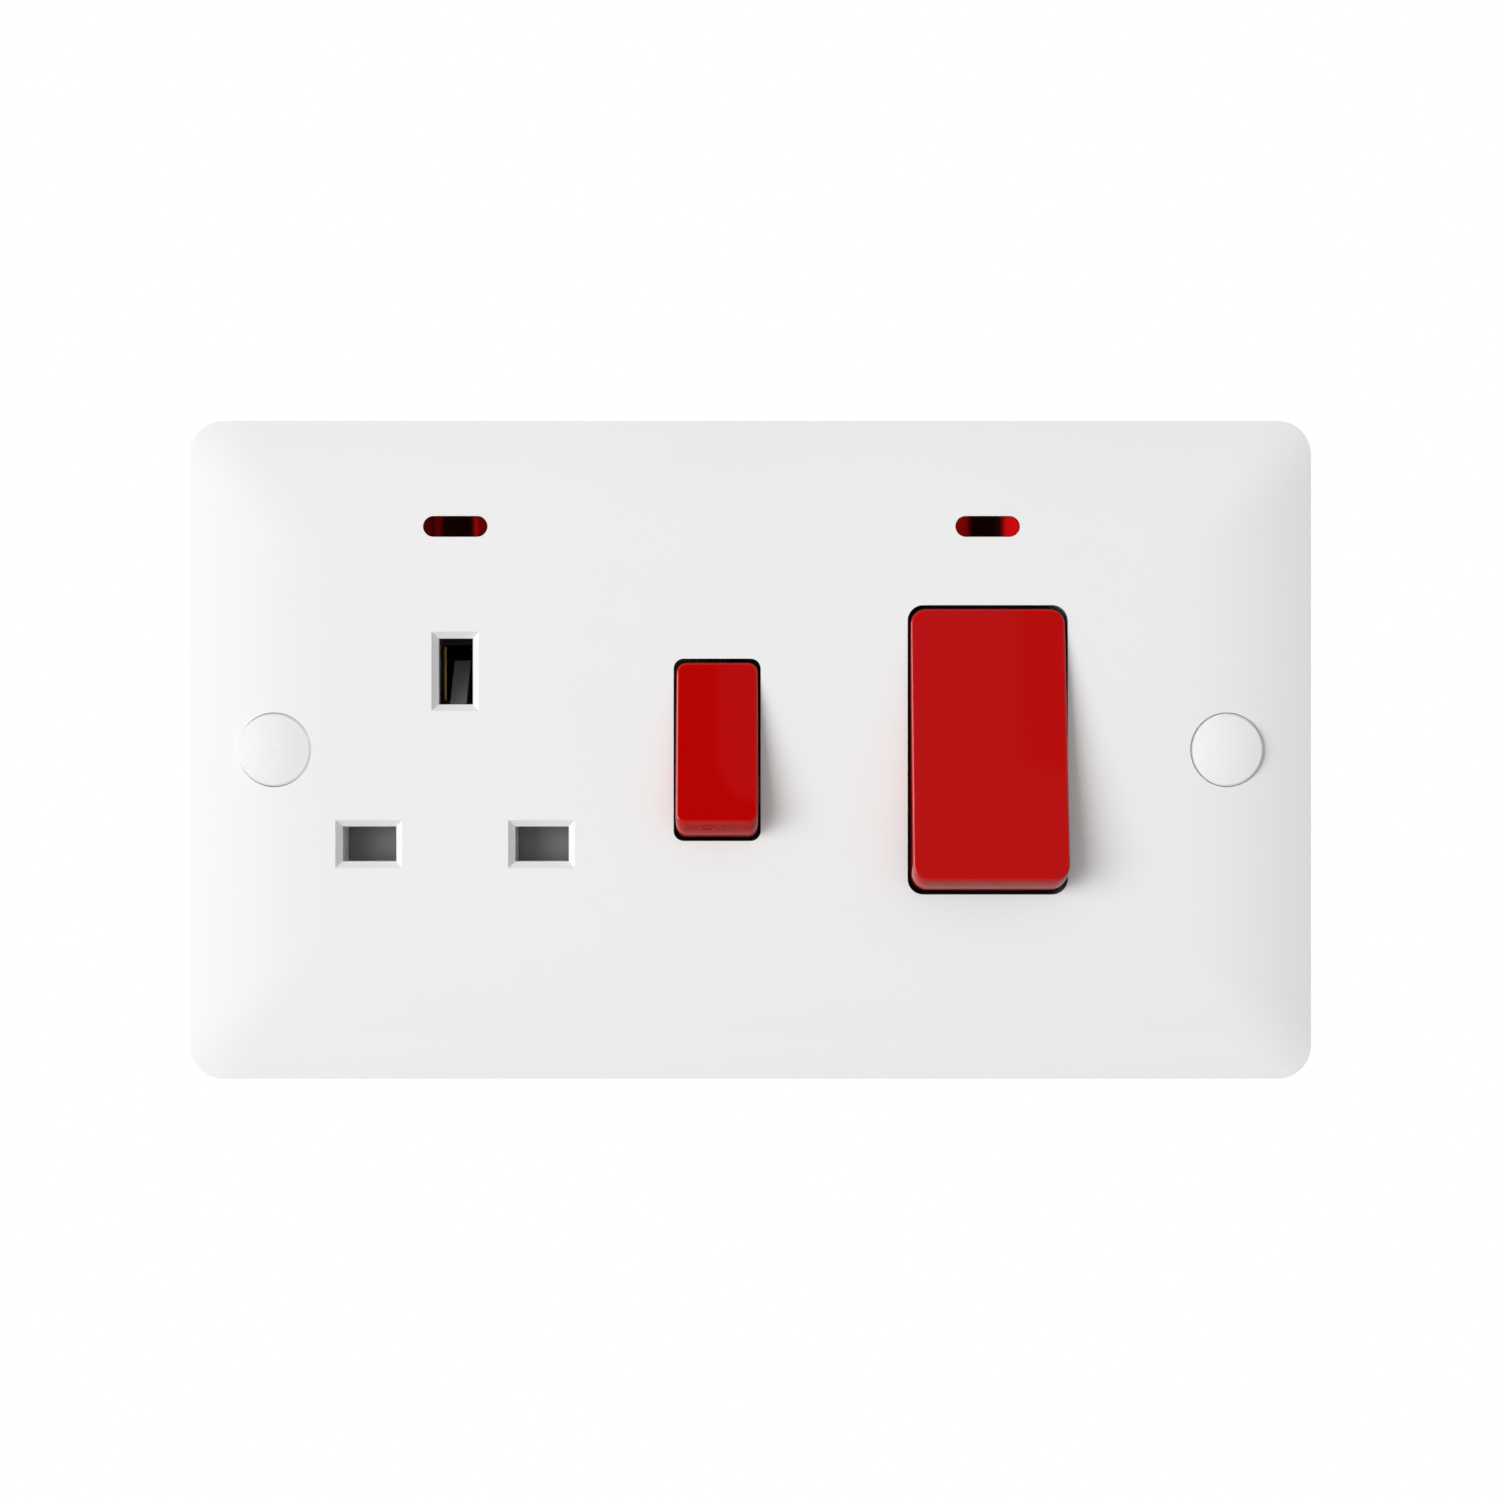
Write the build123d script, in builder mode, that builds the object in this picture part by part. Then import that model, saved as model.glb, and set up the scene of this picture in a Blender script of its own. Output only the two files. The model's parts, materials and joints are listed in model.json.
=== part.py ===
from build123d import *
from math import cos, radians, sin, sqrt
import os

# Twin-plate cooker control unit: a switched 13 A socket beside a double-pole cooker switch.
# X runs to the right, Z up and Y into the wall, so the front faces -Y and the wall plane is y = 0.
# The origin is midway between the two fixing screws, on the wall plane.
# Heights are measured from the wall plane towards the front, so what lies in the wall box is negative.

# Front plate
PLATE_WIDTH = 146.0
PLATE_HEIGHT = 86.0
PLATE_CORNER = 4.7
PLATE_DRAFT = 3.6
PLATE_FACE = 9.0
PLATE_WALL = 2.5
CROWN_DROP = 2.7
CROWN_WIDTH = 19.0
CROWN_OVERRUN = 1.0
CROWN_BLEND = 26.0
FIXING_PITCH = 120.6
CAP_PITCH = 122.7

# Layout of the face
SOCKET_X = -38.0
EARTH_Z = 10.1
PIN_PITCH = 22.23
SOCKET_SWITCH_X = -4.3
COOKER_X = 30.5
NEON_EDGE = 14.25

# Pin slots
PIN_SLOT_WIDTH = 6.9
PIN_SLOT_HEIGHT = 4.5
EARTH_SLOT_WIDTH = 4.4
EARTH_SLOT_HEIGHT = 8.5
SLOT_BEVEL = 0.85
TUNNEL_WALL = 1.3
TUNNEL_DEPTH = 6.4

# Rockers
COOKER_ROCKER_WIDTH = 19.9
COOKER_ROCKER_HALF = 17.6
COOKER_ROCKER_TOP = 4.6
COOKER_TILT = 10.5
COOKER_CORNER = 2.0
SOCKET_ROCKER_WIDTH = 10.5
SOCKET_ROCKER_HALF = 10.5
SOCKET_ROCKER_TOP = 4.2
SOCKET_TILT = 14.0
SOCKET_CORNER = 1.3
ROCKER_SIDE_GAP = 0.35
ROCKER_END_GAP = 0.42
ROCKER_SKIRT = 3.5
ROCKER_WALL = 1.4
ROCKER_CROWN_WALL = 1.8
ROCKER_EDGE = 0.4
ROCKER_INNER_CORNER = 0.6
WELL_WALL = 1.6
WELL_END = 0.3
TRUNNION_RADIUS = 1.1
TRUNNION_LENGTH = 1.4
POST_THICKNESS = 1.1
POST_HALF = 1.9
POST_TOP = 0.7

# Plungers in the rockers
COOKER_PLUNGER_REACH = 10.5
COOKER_PLUNGER_RADIUS = 1.5
SOCKET_PLUNGER_REACH = 9.5
SOCKET_PLUNGER_RADIUS = 1.2
PLUNGER_BOSS_WALL = 0.85
PLUNGER_BOSS_REACH = 6.0
PLUNGER_TOP = 2.4
PLUNGER_BORE_WALL = 0.3
PLUNGER_GAP = 0.15
TIP_ROUNDING = 0.92
SPRING_WIRE = 0.35
SPRING_TURNS = 5
SPRING_END_GAP = 0.05

# Seesaw contacts
POLE_OFFSET = 3.4
SEESAW_TILT = 7.0
COOKER_SEESAW_WIDTH = 3.8
COOKER_SEESAW_THICKNESS = 1.2
COOKER_CONTACT_ARM = 12.0
SOCKET_SEESAW_WIDTH = 2.8
SOCKET_SEESAW_THICKNESS = 1.0
SOCKET_CONTACT_ARM = 11.0
SEESAW_TAIL = 9.5
SEESAW_LIP = 2.0
STUB_RADIUS = 0.75
EAR_THICKNESS = 0.6
EAR_HALF = 1.8
EAR_GAP = 0.1
BUTTON_RADIUS = 1.3
BUTTON_HEIGHT = 0.9
CONTACT_GAP = 0.1

# Copper strips and links
STRIP_THICKNESS = 1.2
STRIP_SIDE_GAP = 0.25
TONGUE_INNER = 2.4
TONGUE_OUTER = 12.0
TONGUE_END = 30.5
TAIL_WIDTH = 3.0
LINK_THICKNESS = 1.0
LINE_LINK_WIDTH = 4.0
LINE_LINK_Z = -5.5
NEUTRAL_LINK_WIDTH = 3.0
NEUTRAL_LINK_Z = -29.0

# Rear mouldings
BASE_HEIGHT = 62.0
BASE_CORNER = 2.0
WELL_FLOOR = 10.0
SOCKET_BASE_LEFT = -54.0
SOCKET_BASE_RIGHT = 4.8
SOCKET_BASE_DEPTH = 16.5
COOKER_BASE_WIDTH = 38.0
COOKER_DECK_DEPTH = 8.7
COOKER_BLOCK_WIDTH = 24.0
COOKER_BLOCK_HEIGHT = 34.6
COOKER_BLOCK_DEPTH = 20.0
COOKER_WELL_HEIGHT = 33.0
SOCKET_WELL_HEIGHT = 28.4
BARRIER_DEPTH = 24.5
BARRIER_THICKNESS = 1.8
CENTRE_BARRIER = 4.0
POLE_RIB = 1.0
POLE_RIB_TOP = 0.5
CORE_DEPTH = 8.0
CORE_WALL = 1.8
CORE_CORNER = 1.0
SOCKET_CORES_X = -38.0
SOCKET_CORES_Z = -12.5
SOCKET_CORE_PITCH = 10.2
SOCKET_CORE_DEPTH = 4.6
FIT = 0.2

# Cable terminals
TERMINAL_WIDTH = 10.0
TERMINAL_LENGTH = 12.0
TERMINAL_DEPTH = 12.0
TERMINAL_OFFSET = 8.5
TERMINAL_START = 17.8
TERMINAL_BORE_RADIUS = 3.0
TERMINAL_BORE_DEPTH = 4.6
EARTH_TERMINAL_WIDTH = 6.6
EARTH_TERMINAL_LENGTH = 10.0
EARTH_TERMINAL_DEPTH = 8.8
EARTH_TERMINAL_PITCH = 7.3
EARTH_TERMINAL_X = -5.35
EARTH_BAY_Z = 17.5
EARTH_BAY_LEFT = -13.0
EARTH_BAY_RIGHT = 2.2
EARTH_FLANGE = 8.0
EARTH_BAY_DEPTH = 6.6
EARTH_BORE_RADIUS = 2.3
EARTH_BORE_DEPTH = 3.6
CLAMP_SCREW_RADIUS = 2.0
CLAMP_HEAD_RADIUS = 2.7
CLAMP_HEAD_HEIGHT = 2.2
CLAMP_SCREW_PITCH = 6.0
SCREW_SLOT = 0.9
THREAD_GAP = 0.05

# Brass pin receptacles
LEAF_THICKNESS = 0.8
RECEPTACLE_WIDTH = 6.0
RECEPTACLE_HALF = 2.9
RECEPTACLE_NECK = 1.8
RECEPTACLE_MOUTH = 2.8
RECEPTACLE_BEND = 0.7
MOUTH_DEPTH = 0.8
EARTH_RECEPTACLE_HALF = 2.5
EARTH_RECEPTACLE_NECK = 1.6
EARTH_RECEPTACLE_HEIGHT = 7.0
EARTH_STRIP_WIDTH = 8.0
NECK_DEPTH = 3.6

# Shutter
SHUTTER_THICKNESS = 2.3
SHUTTER_GAP = 0.15
SHUTTER_TRAVEL = 5.7
SHUTTER_COVER = 0.55
SPINE_WIDTH = 2.1
GUIDE_WALL = 1.1
HUMP_HEIGHT = 5.4
HUMP_LENGTH = 1.2
EARTH_PIN_HALF = 4.0
RAMP_TIP_DEPTH = 1.7
RAMP_LIP = 1.0
RAMP_FOOT = 2.1
SPRING_STOP_THICKNESS = 0.9
SPRING_STOP_HEIGHT = 3.2
SHUTTER_SPRING_RADIUS = 1.6
SHUTTER_SPRING_LENGTH = 10.8
SHUTTER_SPRING_HEIGHT = 1.3

# Indicators, caps and screws
LENS_WIDTH = 8.2
LENS_HEIGHT = 2.6
LENS_FLANGE = 1.0
LENS_PROUD = 0.1
LENS_EDGE = 0.3
LAMP_RADIUS = 1.85
LAMP_SEAT_DEPTH = 5.0
LAMP_HOLDER_WALL = 1.2
CAP_RADIUS = 4.7
CAP_TOP = 9.2
CAP_DOME = 0.5
CAP_SHOULDER = 7.2
CAP_PLUG_RADIUS = 4.2
CAP_PLUG_DEPTH = 0.8
CAP_EDGE = 0.25
FIXING_SEAT = 4.0
FIXING_HEAD_RADIUS = 3.2
FIXING_HEAD_HEIGHT = 2.2
FIXING_THREAD_RADIUS = 1.75
FIXING_NECK_RADIUS = 1.6
FIXING_NECK_EXTRA = 0.5
FIXING_REACH = 22.0
PILLAR_RADIUS = 5.8
BASE_SCREW_RADIUS = 1.4
BASE_SCREW_HEAD_RADIUS = 2.7
BASE_SCREW_HEAD_HEIGHT = 1.8
BASE_SCREW_SEAT = 4.5
BASE_SCREW_GRIP = 4.0
BOSS_RADIUS = 2.8
COOKER_SCREW_X = 30.0
COOKER_SCREW_Z = 24.0
SOCKET_SCREWS = ((-50.0, 22.0), (-19.0, 22.0), (-18.0, -22.0))

# Planes: FRONT holds X and Z, ACROSS holds X and height, UPRIGHT holds Z and height
FRONT = Plane(origin=(0, 0, 0), x_dir=(1, 0, 0), z_dir=(0, -1, 0))
ACROSS = Plane(origin=(0, 0, 0), x_dir=(1, 0, 0), z_dir=(0, 0, -1))
UPRIGHT = Plane(origin=(0, 0, 0), x_dir=(0, 0, 1), z_dir=(1, 0, 0))

# Places worked out from the sizes above
NEON_Z = PLATE_HEIGHT / 2 - NEON_EDGE
CROWN_RADIUS = (CROWN_WIDTH**2 + CROWN_DROP**2) / (2 * CROWN_DROP)
LENS_FRONT = PLATE_FACE - CROWN_RADIUS + sqrt(CROWN_RADIUS**2 - (CROWN_WIDTH - NEON_EDGE) ** 2) + LENS_PROUD
PIN_Z = EARTH_Z - PIN_PITCH
NEUTRAL_X = SOCKET_X - PIN_PITCH / 2
LINE_X = SOCKET_X + PIN_PITCH / 2
PIN_PLACES = ((NEUTRAL_X, PIN_Z), (LINE_X, PIN_Z))
FIXING_PLACES = ((-FIXING_PITCH / 2, 0), (FIXING_PITCH / 2, 0))
CAP_PLACES = ((-CAP_PITCH / 2, 0), (CAP_PITCH / 2, 0))
NEON_PLACES = ((SOCKET_X, NEON_Z), (COOKER_X, NEON_Z))
TUNNEL_END = PLATE_FACE - TUNNEL_DEPTH
PLATE_INSIDE = PLATE_FACE - PLATE_WALL
COOKER_RADIUS = sqrt(COOKER_ROCKER_HALF**2 + COOKER_ROCKER_TOP**2)
SOCKET_RADIUS = sqrt(SOCKET_ROCKER_HALF**2 + SOCKET_ROCKER_TOP**2)
STRIP_TOP = STRIP_THICKNESS - WELL_FLOOR
COOKER_STRIP_HALF = COOKER_SEESAW_WIDTH / 2 + EAR_GAP + EAR_THICKNESS
SOCKET_STRIP_HALF = SOCKET_SEESAW_WIDTH / 2 + EAR_GAP + EAR_THICKNESS
COOKER_WELL_HALF = POLE_OFFSET + COOKER_STRIP_HALF + STRIP_SIDE_GAP
SOCKET_WELL_HALF = SOCKET_STRIP_HALF + STRIP_SIDE_GAP
BAY_START = COOKER_BLOCK_HEIGHT / 2
TERMINAL_REAR = WELL_FLOOR + TERMINAL_DEPTH
TERMINAL_MIDDLE = TERMINAL_START + TERMINAL_LENGTH / 2
EARTH_TERMINAL_REAR = EARTH_BAY_DEPTH + EARTH_TERMINAL_DEPTH
EARTH_TERMINAL_XS = (EARTH_TERMINAL_X - EARTH_TERMINAL_PITCH / 2, EARTH_TERMINAL_X + EARTH_TERMINAL_PITCH / 2)
EARTH_FLANGE_Z = EARTH_BAY_Z + LEAF_THICKNESS + FIT
EARTH_TERMINAL_MIDDLE = EARTH_FLANGE_Z + EARTH_TERMINAL_LENGTH / 2
SHUTTER_LOW = PIN_Z - PIN_SLOT_HEIGHT / 2 - 2 * SHUTTER_COVER
SHUTTER_HIGH = PIN_Z + PIN_SLOT_HEIGHT / 2 + SHUTTER_COVER
SPRING_STOP_Z = SHUTTER_LOW - SHUTTER_SPRING_LENGTH - SHUTTER_GAP
RAMP_TIP_Z = EARTH_Z - EARTH_PIN_HALF + SHUTTER_TRAVEL
NEUTRAL_POLE_X = COOKER_X + POLE_OFFSET
COOKER_SCREWS = tuple(
    (COOKER_X + sx * COOKER_SCREW_X / 2, sz * COOKER_SCREW_Z / 2) for sx in (-1, 1) for sz in (-1, 1)
)


def pivot_height(half, top, tilt):
    """The pivot's height that brings a tilted rocker's pressed edge level with the plate's face."""
    return PLATE_FACE - top * cos(radians(tilt)) + half * sin(radians(tilt))


COOKER_PIVOT_HEIGHT = pivot_height(COOKER_ROCKER_HALF, COOKER_ROCKER_TOP, COOKER_TILT)
SOCKET_PIVOT_HEIGHT = pivot_height(SOCKET_ROCKER_HALF, SOCKET_ROCKER_TOP, SOCKET_TILT)
COOKER_AXIS_HEIGHT = COOKER_PIVOT_HEIGHT - COOKER_PLUNGER_REACH - PLUNGER_GAP - STUB_RADIUS
SOCKET_AXIS_HEIGHT = SOCKET_PIVOT_HEIGHT - SOCKET_PLUNGER_REACH - PLUNGER_GAP - STUB_RADIUS


def level(height):
    """The plane parallel to the wall at a height."""
    return FRONT.offset(height)


def upright_at(x):
    """The plane of Z and height at an X."""
    return UPRIGHT.offset(x)


def across_at(z):
    """The plane of X and height at a Z."""
    return ACROSS.offset(-z)


def tilted(x, height, tilt):
    """The plane of a tilting piece: its origin is on the axis, and a positive tilt sinks its upper end."""
    lean = radians(tilt)
    return Plane(origin=(x, -height, 0), x_dir=(1, 0, 0), z_dir=(0, -cos(lean), sin(lean)))


def side_of(plane, shift=0.0):
    """The side plane of a tilting piece, holding its length and its own height."""
    return Plane(origin=plane.origin, x_dir=plane.y_dir, z_dir=plane.x_dir).offset(shift)


def save(part, name):
    """Label a finished piece and write it."""
    part.label = name
    export_step(part, f"parts/{name}.step")


def crown_section(half, inset):
    """One crowned section: flat in the middle, an arc down to each edge and a little past it."""
    top = PLATE_FACE - inset
    outer = half - inset + CROWN_OVERRUN
    flat = half - CROWN_WIDTH
    edge = PLATE_FACE - CROWN_RADIUS + sqrt((CROWN_RADIUS - inset) ** 2 - (outer - flat) ** 2)
    with BuildLine() as outline:
        Line((-flat, top), (flat, top))
        TangentArc((flat, top), (outer, edge), tangent=(1, 0))
        Polyline((outer, edge), (outer, 0), (-outer, 0), (-outer, edge))
        TangentArc((-flat, top), (-outer, edge), tangent=(-1, 0))
    make_face(outline.edges())


def crowned_block(inset, blend):
    """The plate's drafted outline, drawn in by an inset except at the back, its crown blended."""
    with BuildPart() as block:
        with BuildSketch(FRONT):
            RectangleRounded(PLATE_WIDTH - 2 * inset, PLATE_HEIGHT - 2 * inset, PLATE_CORNER - inset)
        extrude(amount=PLATE_FACE, taper=PLATE_DRAFT)
        with BuildSketch(ACROSS):
            crown_section(PLATE_WIDTH / 2, inset)
        extrude(amount=PLATE_HEIGHT, both=True, mode=Mode.INTERSECT)
        with BuildSketch(UPRIGHT):
            crown_section(PLATE_HEIGHT / 2, inset)
        extrude(amount=PLATE_WIDTH, both=True, mode=Mode.INTERSECT)
        if blend:
            spans = [(edge, edge.bounding_box().size) for edge in block.edges()]
            mitres = [edge for edge, span in spans if min(span.X, span.Z) > CROWN_WIDTH / 2]
            fillet(mitres, radius=blend)
    return block.part


def well_sketch(x, width, radius, corner, extra):
    """The outline of a rocker's well, widened by an extra."""
    with Locations((x, 0)):
        RectangleRounded(
            width + 2 * ROCKER_SIDE_GAP + 2 * extra,
            2 * (radius + ROCKER_END_GAP + extra),
            corner + extra,
        )


def rocker_block(plane, width, radius, top, corner, edge):
    """A rocker's outline: both ends curve about the pivot, with rounded corners and a softened top edge."""
    with BuildPart() as block:
        with BuildSketch(side_of(plane)):
            Circle(radius)
            with Locations((0, (top - ROCKER_SKIRT) / 2)):
                Rectangle(2 * radius, top + ROCKER_SKIRT, mode=Mode.INTERSECT)
        extrude(amount=width / 2, both=True)
        fillet(block.edges().filter_by(GeomType.CIRCLE), radius=corner)
        if edge:
            face = block.faces().sort_by(Axis(plane.origin, plane.z_dir))[-1]
            fillet(face.edges(), radius=edge)
    return block.part


def rocker(plane, width, radius, top, corner, plunger_radius, plunger_xs):
    """A hollow rocker with plunger bosses underneath and a trunnion inside each side wall."""
    outside = rocker_block(plane, width, radius, top, corner, ROCKER_EDGE)
    inside = rocker_block(
        plane,
        width - 2 * ROCKER_WALL,
        radius - ROCKER_WALL,
        top - ROCKER_CROWN_WALL,
        ROCKER_INNER_CORNER,
        0,
    )
    inner_half = width / 2 - ROCKER_WALL
    bore_top = top - ROCKER_CROWN_WALL - PLUNGER_BORE_WALL
    places = [(x, 0) for x in plunger_xs]
    with BuildPart() as body:
        add(outside)
        add(inside, mode=Mode.SUBTRACT)
        with BuildSketch(plane.offset(-PLUNGER_BOSS_REACH)):
            with Locations(*places):
                Circle(plunger_radius + PLUNGER_BOSS_WALL)
        extrude(amount=PLUNGER_BOSS_REACH + top - ROCKER_CROWN_WALL)
        with BuildSketch(plane.offset(-PLUNGER_BOSS_REACH)):
            with Locations(*places):
                Circle(plunger_radius + THREAD_GAP)
        extrude(amount=PLUNGER_BOSS_REACH + bore_top, mode=Mode.SUBTRACT)
        for side in (-1, 1):
            with BuildSketch(side_of(plane, side * inner_half)):
                Circle(TRUNNION_RADIUS)
            extrude(amount=-side * TRUNNION_LENGTH)
    return body.part


def plunger(plane, x, radius, reach):
    """A round plunger with a domed tip."""
    axis = Plane(origin=plane.from_local_coords((x, 0, 0)), x_dir=plane.x_dir, z_dir=plane.z_dir)
    with BuildPart() as body:
        with BuildSketch(axis.offset(-reach)):
            Circle(radius)
        extrude(amount=reach - PLUNGER_TOP)
        tip = body.edges().sort_by(Axis(plane.origin, plane.z_dir))[0]
        fillet(tip, radius=TIP_ROUNDING * radius)
    return body.part


def coil_spring(plane, radius, length):
    """A compression spring that stands on a plane."""
    rise = length - SPRING_WIRE
    with BuildPart() as spring:
        foot = plane.offset(SPRING_WIRE / 2)
        with BuildLine() as path:
            Helix(
                pitch=rise / SPRING_TURNS,
                height=rise,
                radius=radius,
                center=foot.origin,
                direction=plane.z_dir,
            )
        start = path.line @ 0
        with BuildSketch(Plane(origin=start, x_dir=start - foot.origin, z_dir=path.line % 0)):
            Rectangle(SPRING_WIRE, SPRING_WIRE)
        sweep(is_frenet=True)
    return spring.part


def plunger_spring(plane, x, plunger_radius, top):
    """The spring between a plunger and the end of its bore."""
    bore_top = top - ROCKER_CROWN_WALL - PLUNGER_BORE_WALL
    foot = plane.from_local_coords((x, 0, SPRING_END_GAP - PLUNGER_TOP))
    seat = Plane(origin=foot, x_dir=plane.x_dir, z_dir=plane.z_dir)
    radius = plunger_radius - SPRING_WIRE / 2 - SPRING_END_GAP
    return coil_spring(seat, radius, bore_top + PLUNGER_TOP - 2 * SPRING_END_GAP)


def seesaw(axis, width, thickness, arm):
    """A moving contact: a bar on two side stubs, with a button behind its upper end."""
    upper = arm + SEESAW_LIP
    with BuildPart() as bar:
        with BuildSketch(axis.offset(-thickness / 2)):
            with Locations((0, (upper - SEESAW_TAIL) / 2)):
                RectangleRounded(width, upper + SEESAW_TAIL, width / 4)
        extrude(amount=thickness)
        with BuildSketch(side_of(axis)):
            Circle(STUB_RADIUS)
        extrude(amount=width / 2 + EAR_GAP + EAR_THICKNESS, both=True)
        with BuildSketch(axis.offset(-thickness / 2)):
            with Locations((0, arm)):
                Circle(BUTTON_RADIUS)
        extrude(amount=-BUTTON_HEIGHT)
    return bar.part


def contact_height(axis_height, thickness, arm):
    """How high a fixed contact stands: just short of the seesaw's button when it is closed."""
    lean = radians(SEESAW_TILT)
    reach = (arm + BUTTON_RADIUS) * sin(lean) + (thickness / 2 + BUTTON_HEIGHT) * cos(lean)
    return axis_height - reach - CONTACT_GAP


def ear_pair(x, width, axis_height):
    """Two ears with open notches that carry a seesaw's stubs, standing on a strip."""
    height = axis_height + STUB_RADIUS - STRIP_TOP
    notch = STUB_RADIUS + THREAD_GAP
    for side in (-1, 1):
        inner = x + side * (width / 2 + EAR_GAP)
        with BuildSketch(upright_at(inner)) as ear:
            with Locations((0, STRIP_TOP + height / 2)):
                Rectangle(2 * EAR_HALF, height)
            with Locations((0, axis_height)):
                Circle(notch, mode=Mode.SUBTRACT)
            with Locations((0, axis_height + STUB_RADIUS / 2)):
                Rectangle(2 * notch, STUB_RADIUS, mode=Mode.SUBTRACT)
        extrude(ear.sketch, amount=side * EAR_THICKNESS)


def slab(x0, x1, z0, z1, height, thickness, mode=Mode.ADD):
    """A flat plate between two X and two Z values, standing forward from a height."""
    with BuildSketch(level(height)) as outline:
        with Locations(((x0 + x1) / 2, (z0 + z1) / 2)):
            Rectangle(abs(x1 - x0), abs(z1 - z0))
    extrude(outline.sketch, amount=thickness, mode=mode)


def post_pair(x, rocker_width, pivot):
    """Two posts on a base that reach inside a rocker and take its trunnions in open notches."""
    notch = TRUNNION_RADIUS + THREAD_GAP
    for side in (-1, 1):
        outer = x + side * (rocker_width / 2 - ROCKER_WALL - FIT)
        with BuildSketch(upright_at(outer)) as post:
            with Locations((0, (pivot + POST_TOP) / 2)):
                Rectangle(2 * POST_HALF, pivot + POST_TOP)
            with Locations((0, pivot)):
                Circle(notch, mode=Mode.SUBTRACT)
            with Locations((0, pivot + POST_TOP / 2)):
                Rectangle(2 * notch, POST_TOP, mode=Mode.SUBTRACT)
        extrude(post.sketch, amount=-side * POST_THICKNESS)


def leaf_section(centre, half, neck, mouth, floor):
    """The section of a pin receptacle: a strip bent into two sprung leaves with flared mouths."""
    base = LEAF_THICKNESS / 2 - floor
    right = [
        (half, base),
        (half, -2 * NECK_DEPTH),
        (neck, -NECK_DEPTH),
        (mouth, -MOUTH_DEPTH),
    ]
    points = [(centre - x, h) for x, h in reversed(right)] + [(centre + x, h) for x, h in right]
    with BuildLine() as path:
        FilletPolyline(*points, radius=RECEPTACLE_BEND)
    trace(path.line, line_width=LEAF_THICKNESS)


def terminal(x, z, rear, width, length, depth, bore_radius, bore_height, screw_zs):
    """A brass clamp block with a cable bore along Z and screw holes from behind."""
    with BuildPart() as block:
        slab(x - width / 2, x + width / 2, z - length / 2, z + length / 2, -rear, depth)
        with BuildSketch(across_at(z)):
            with Locations((x, bore_height)):
                Circle(bore_radius)
        extrude(amount=length / 2, both=True, mode=Mode.SUBTRACT)
        with BuildSketch(level(-rear)):
            with Locations(*[(x, screw_z) for screw_z in screw_zs]):
                Circle(CLAMP_SCREW_RADIUS + THREAD_GAP)
        extrude(amount=rear + bore_height, mode=Mode.SUBTRACT)
    return block.part


def clamp_screws(places, rear, length):
    """Slotted screws whose heads stand behind a terminal."""
    with BuildPart() as screws:
        with BuildSketch(level(-rear)):
            with Locations(*places):
                Circle(CLAMP_SCREW_RADIUS)
        extrude(amount=length)
        with BuildSketch(level(-rear)):
            with Locations(*places):
                Circle(CLAMP_HEAD_RADIUS)
        extrude(amount=-CLAMP_HEAD_HEIGHT)
        with BuildSketch(level(-rear - CLAMP_HEAD_HEIGHT)):
            with Locations(*places):
                Rectangle(2 * CLAMP_HEAD_RADIUS, SCREW_SLOT)
        extrude(amount=CLAMP_HEAD_HEIGHT / 2, mode=Mode.SUBTRACT)
    return screws.part


def base_screw_holes(places, rear):
    """Clearance holes for the base screws, with deep seats for their heads from behind."""
    with BuildSketch(level(-rear)) as holes:
        with Locations(*places):
            Circle(BASE_SCREW_RADIUS + FIT)
    extrude(holes.sketch, amount=rear, mode=Mode.SUBTRACT)
    with BuildSketch(level(-rear)) as seats:
        with Locations(*places):
            Circle(BASE_SCREW_HEAD_RADIUS + FIT)
    extrude(seats.sketch, amount=rear - BASE_SCREW_SEAT, mode=Mode.SUBTRACT)


def lamp_seat(x):
    """A round holder at the upper edge of a base, with the hole that takes an indicator lamp."""
    seat_radius = LAMP_RADIUS + FIT / 2
    with BuildSketch(FRONT) as holder:
        with Locations((x, NEON_Z)):
            Circle(seat_radius + LAMP_HOLDER_WALL)
    extrude(holder.sketch, amount=-LAMP_SEAT_DEPTH - LAMP_HOLDER_WALL)
    with BuildSketch(level(-LAMP_SEAT_DEPTH)) as seat:
        with Locations((x, NEON_Z)):
            Circle(seat_radius)
    extrude(seat.sketch, amount=LAMP_SEAT_DEPTH, mode=Mode.SUBTRACT)


os.makedirs("parts", exist_ok=True)

# Tilting planes, all at rest in the OFF position
COOKER_PIVOT = tilted(COOKER_X, COOKER_PIVOT_HEIGHT, COOKER_TILT)
SOCKET_PIVOT = tilted(SOCKET_SWITCH_X, SOCKET_PIVOT_HEIGHT, SOCKET_TILT)
SOCKET_AXIS = tilted(SOCKET_SWITCH_X, SOCKET_AXIS_HEIGHT, -SEESAW_TILT)

# Front plate
plate_solid = crowned_block(0, CROWN_BLEND)
plate_hollow = crowned_block(PLATE_WALL, 0)

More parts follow.
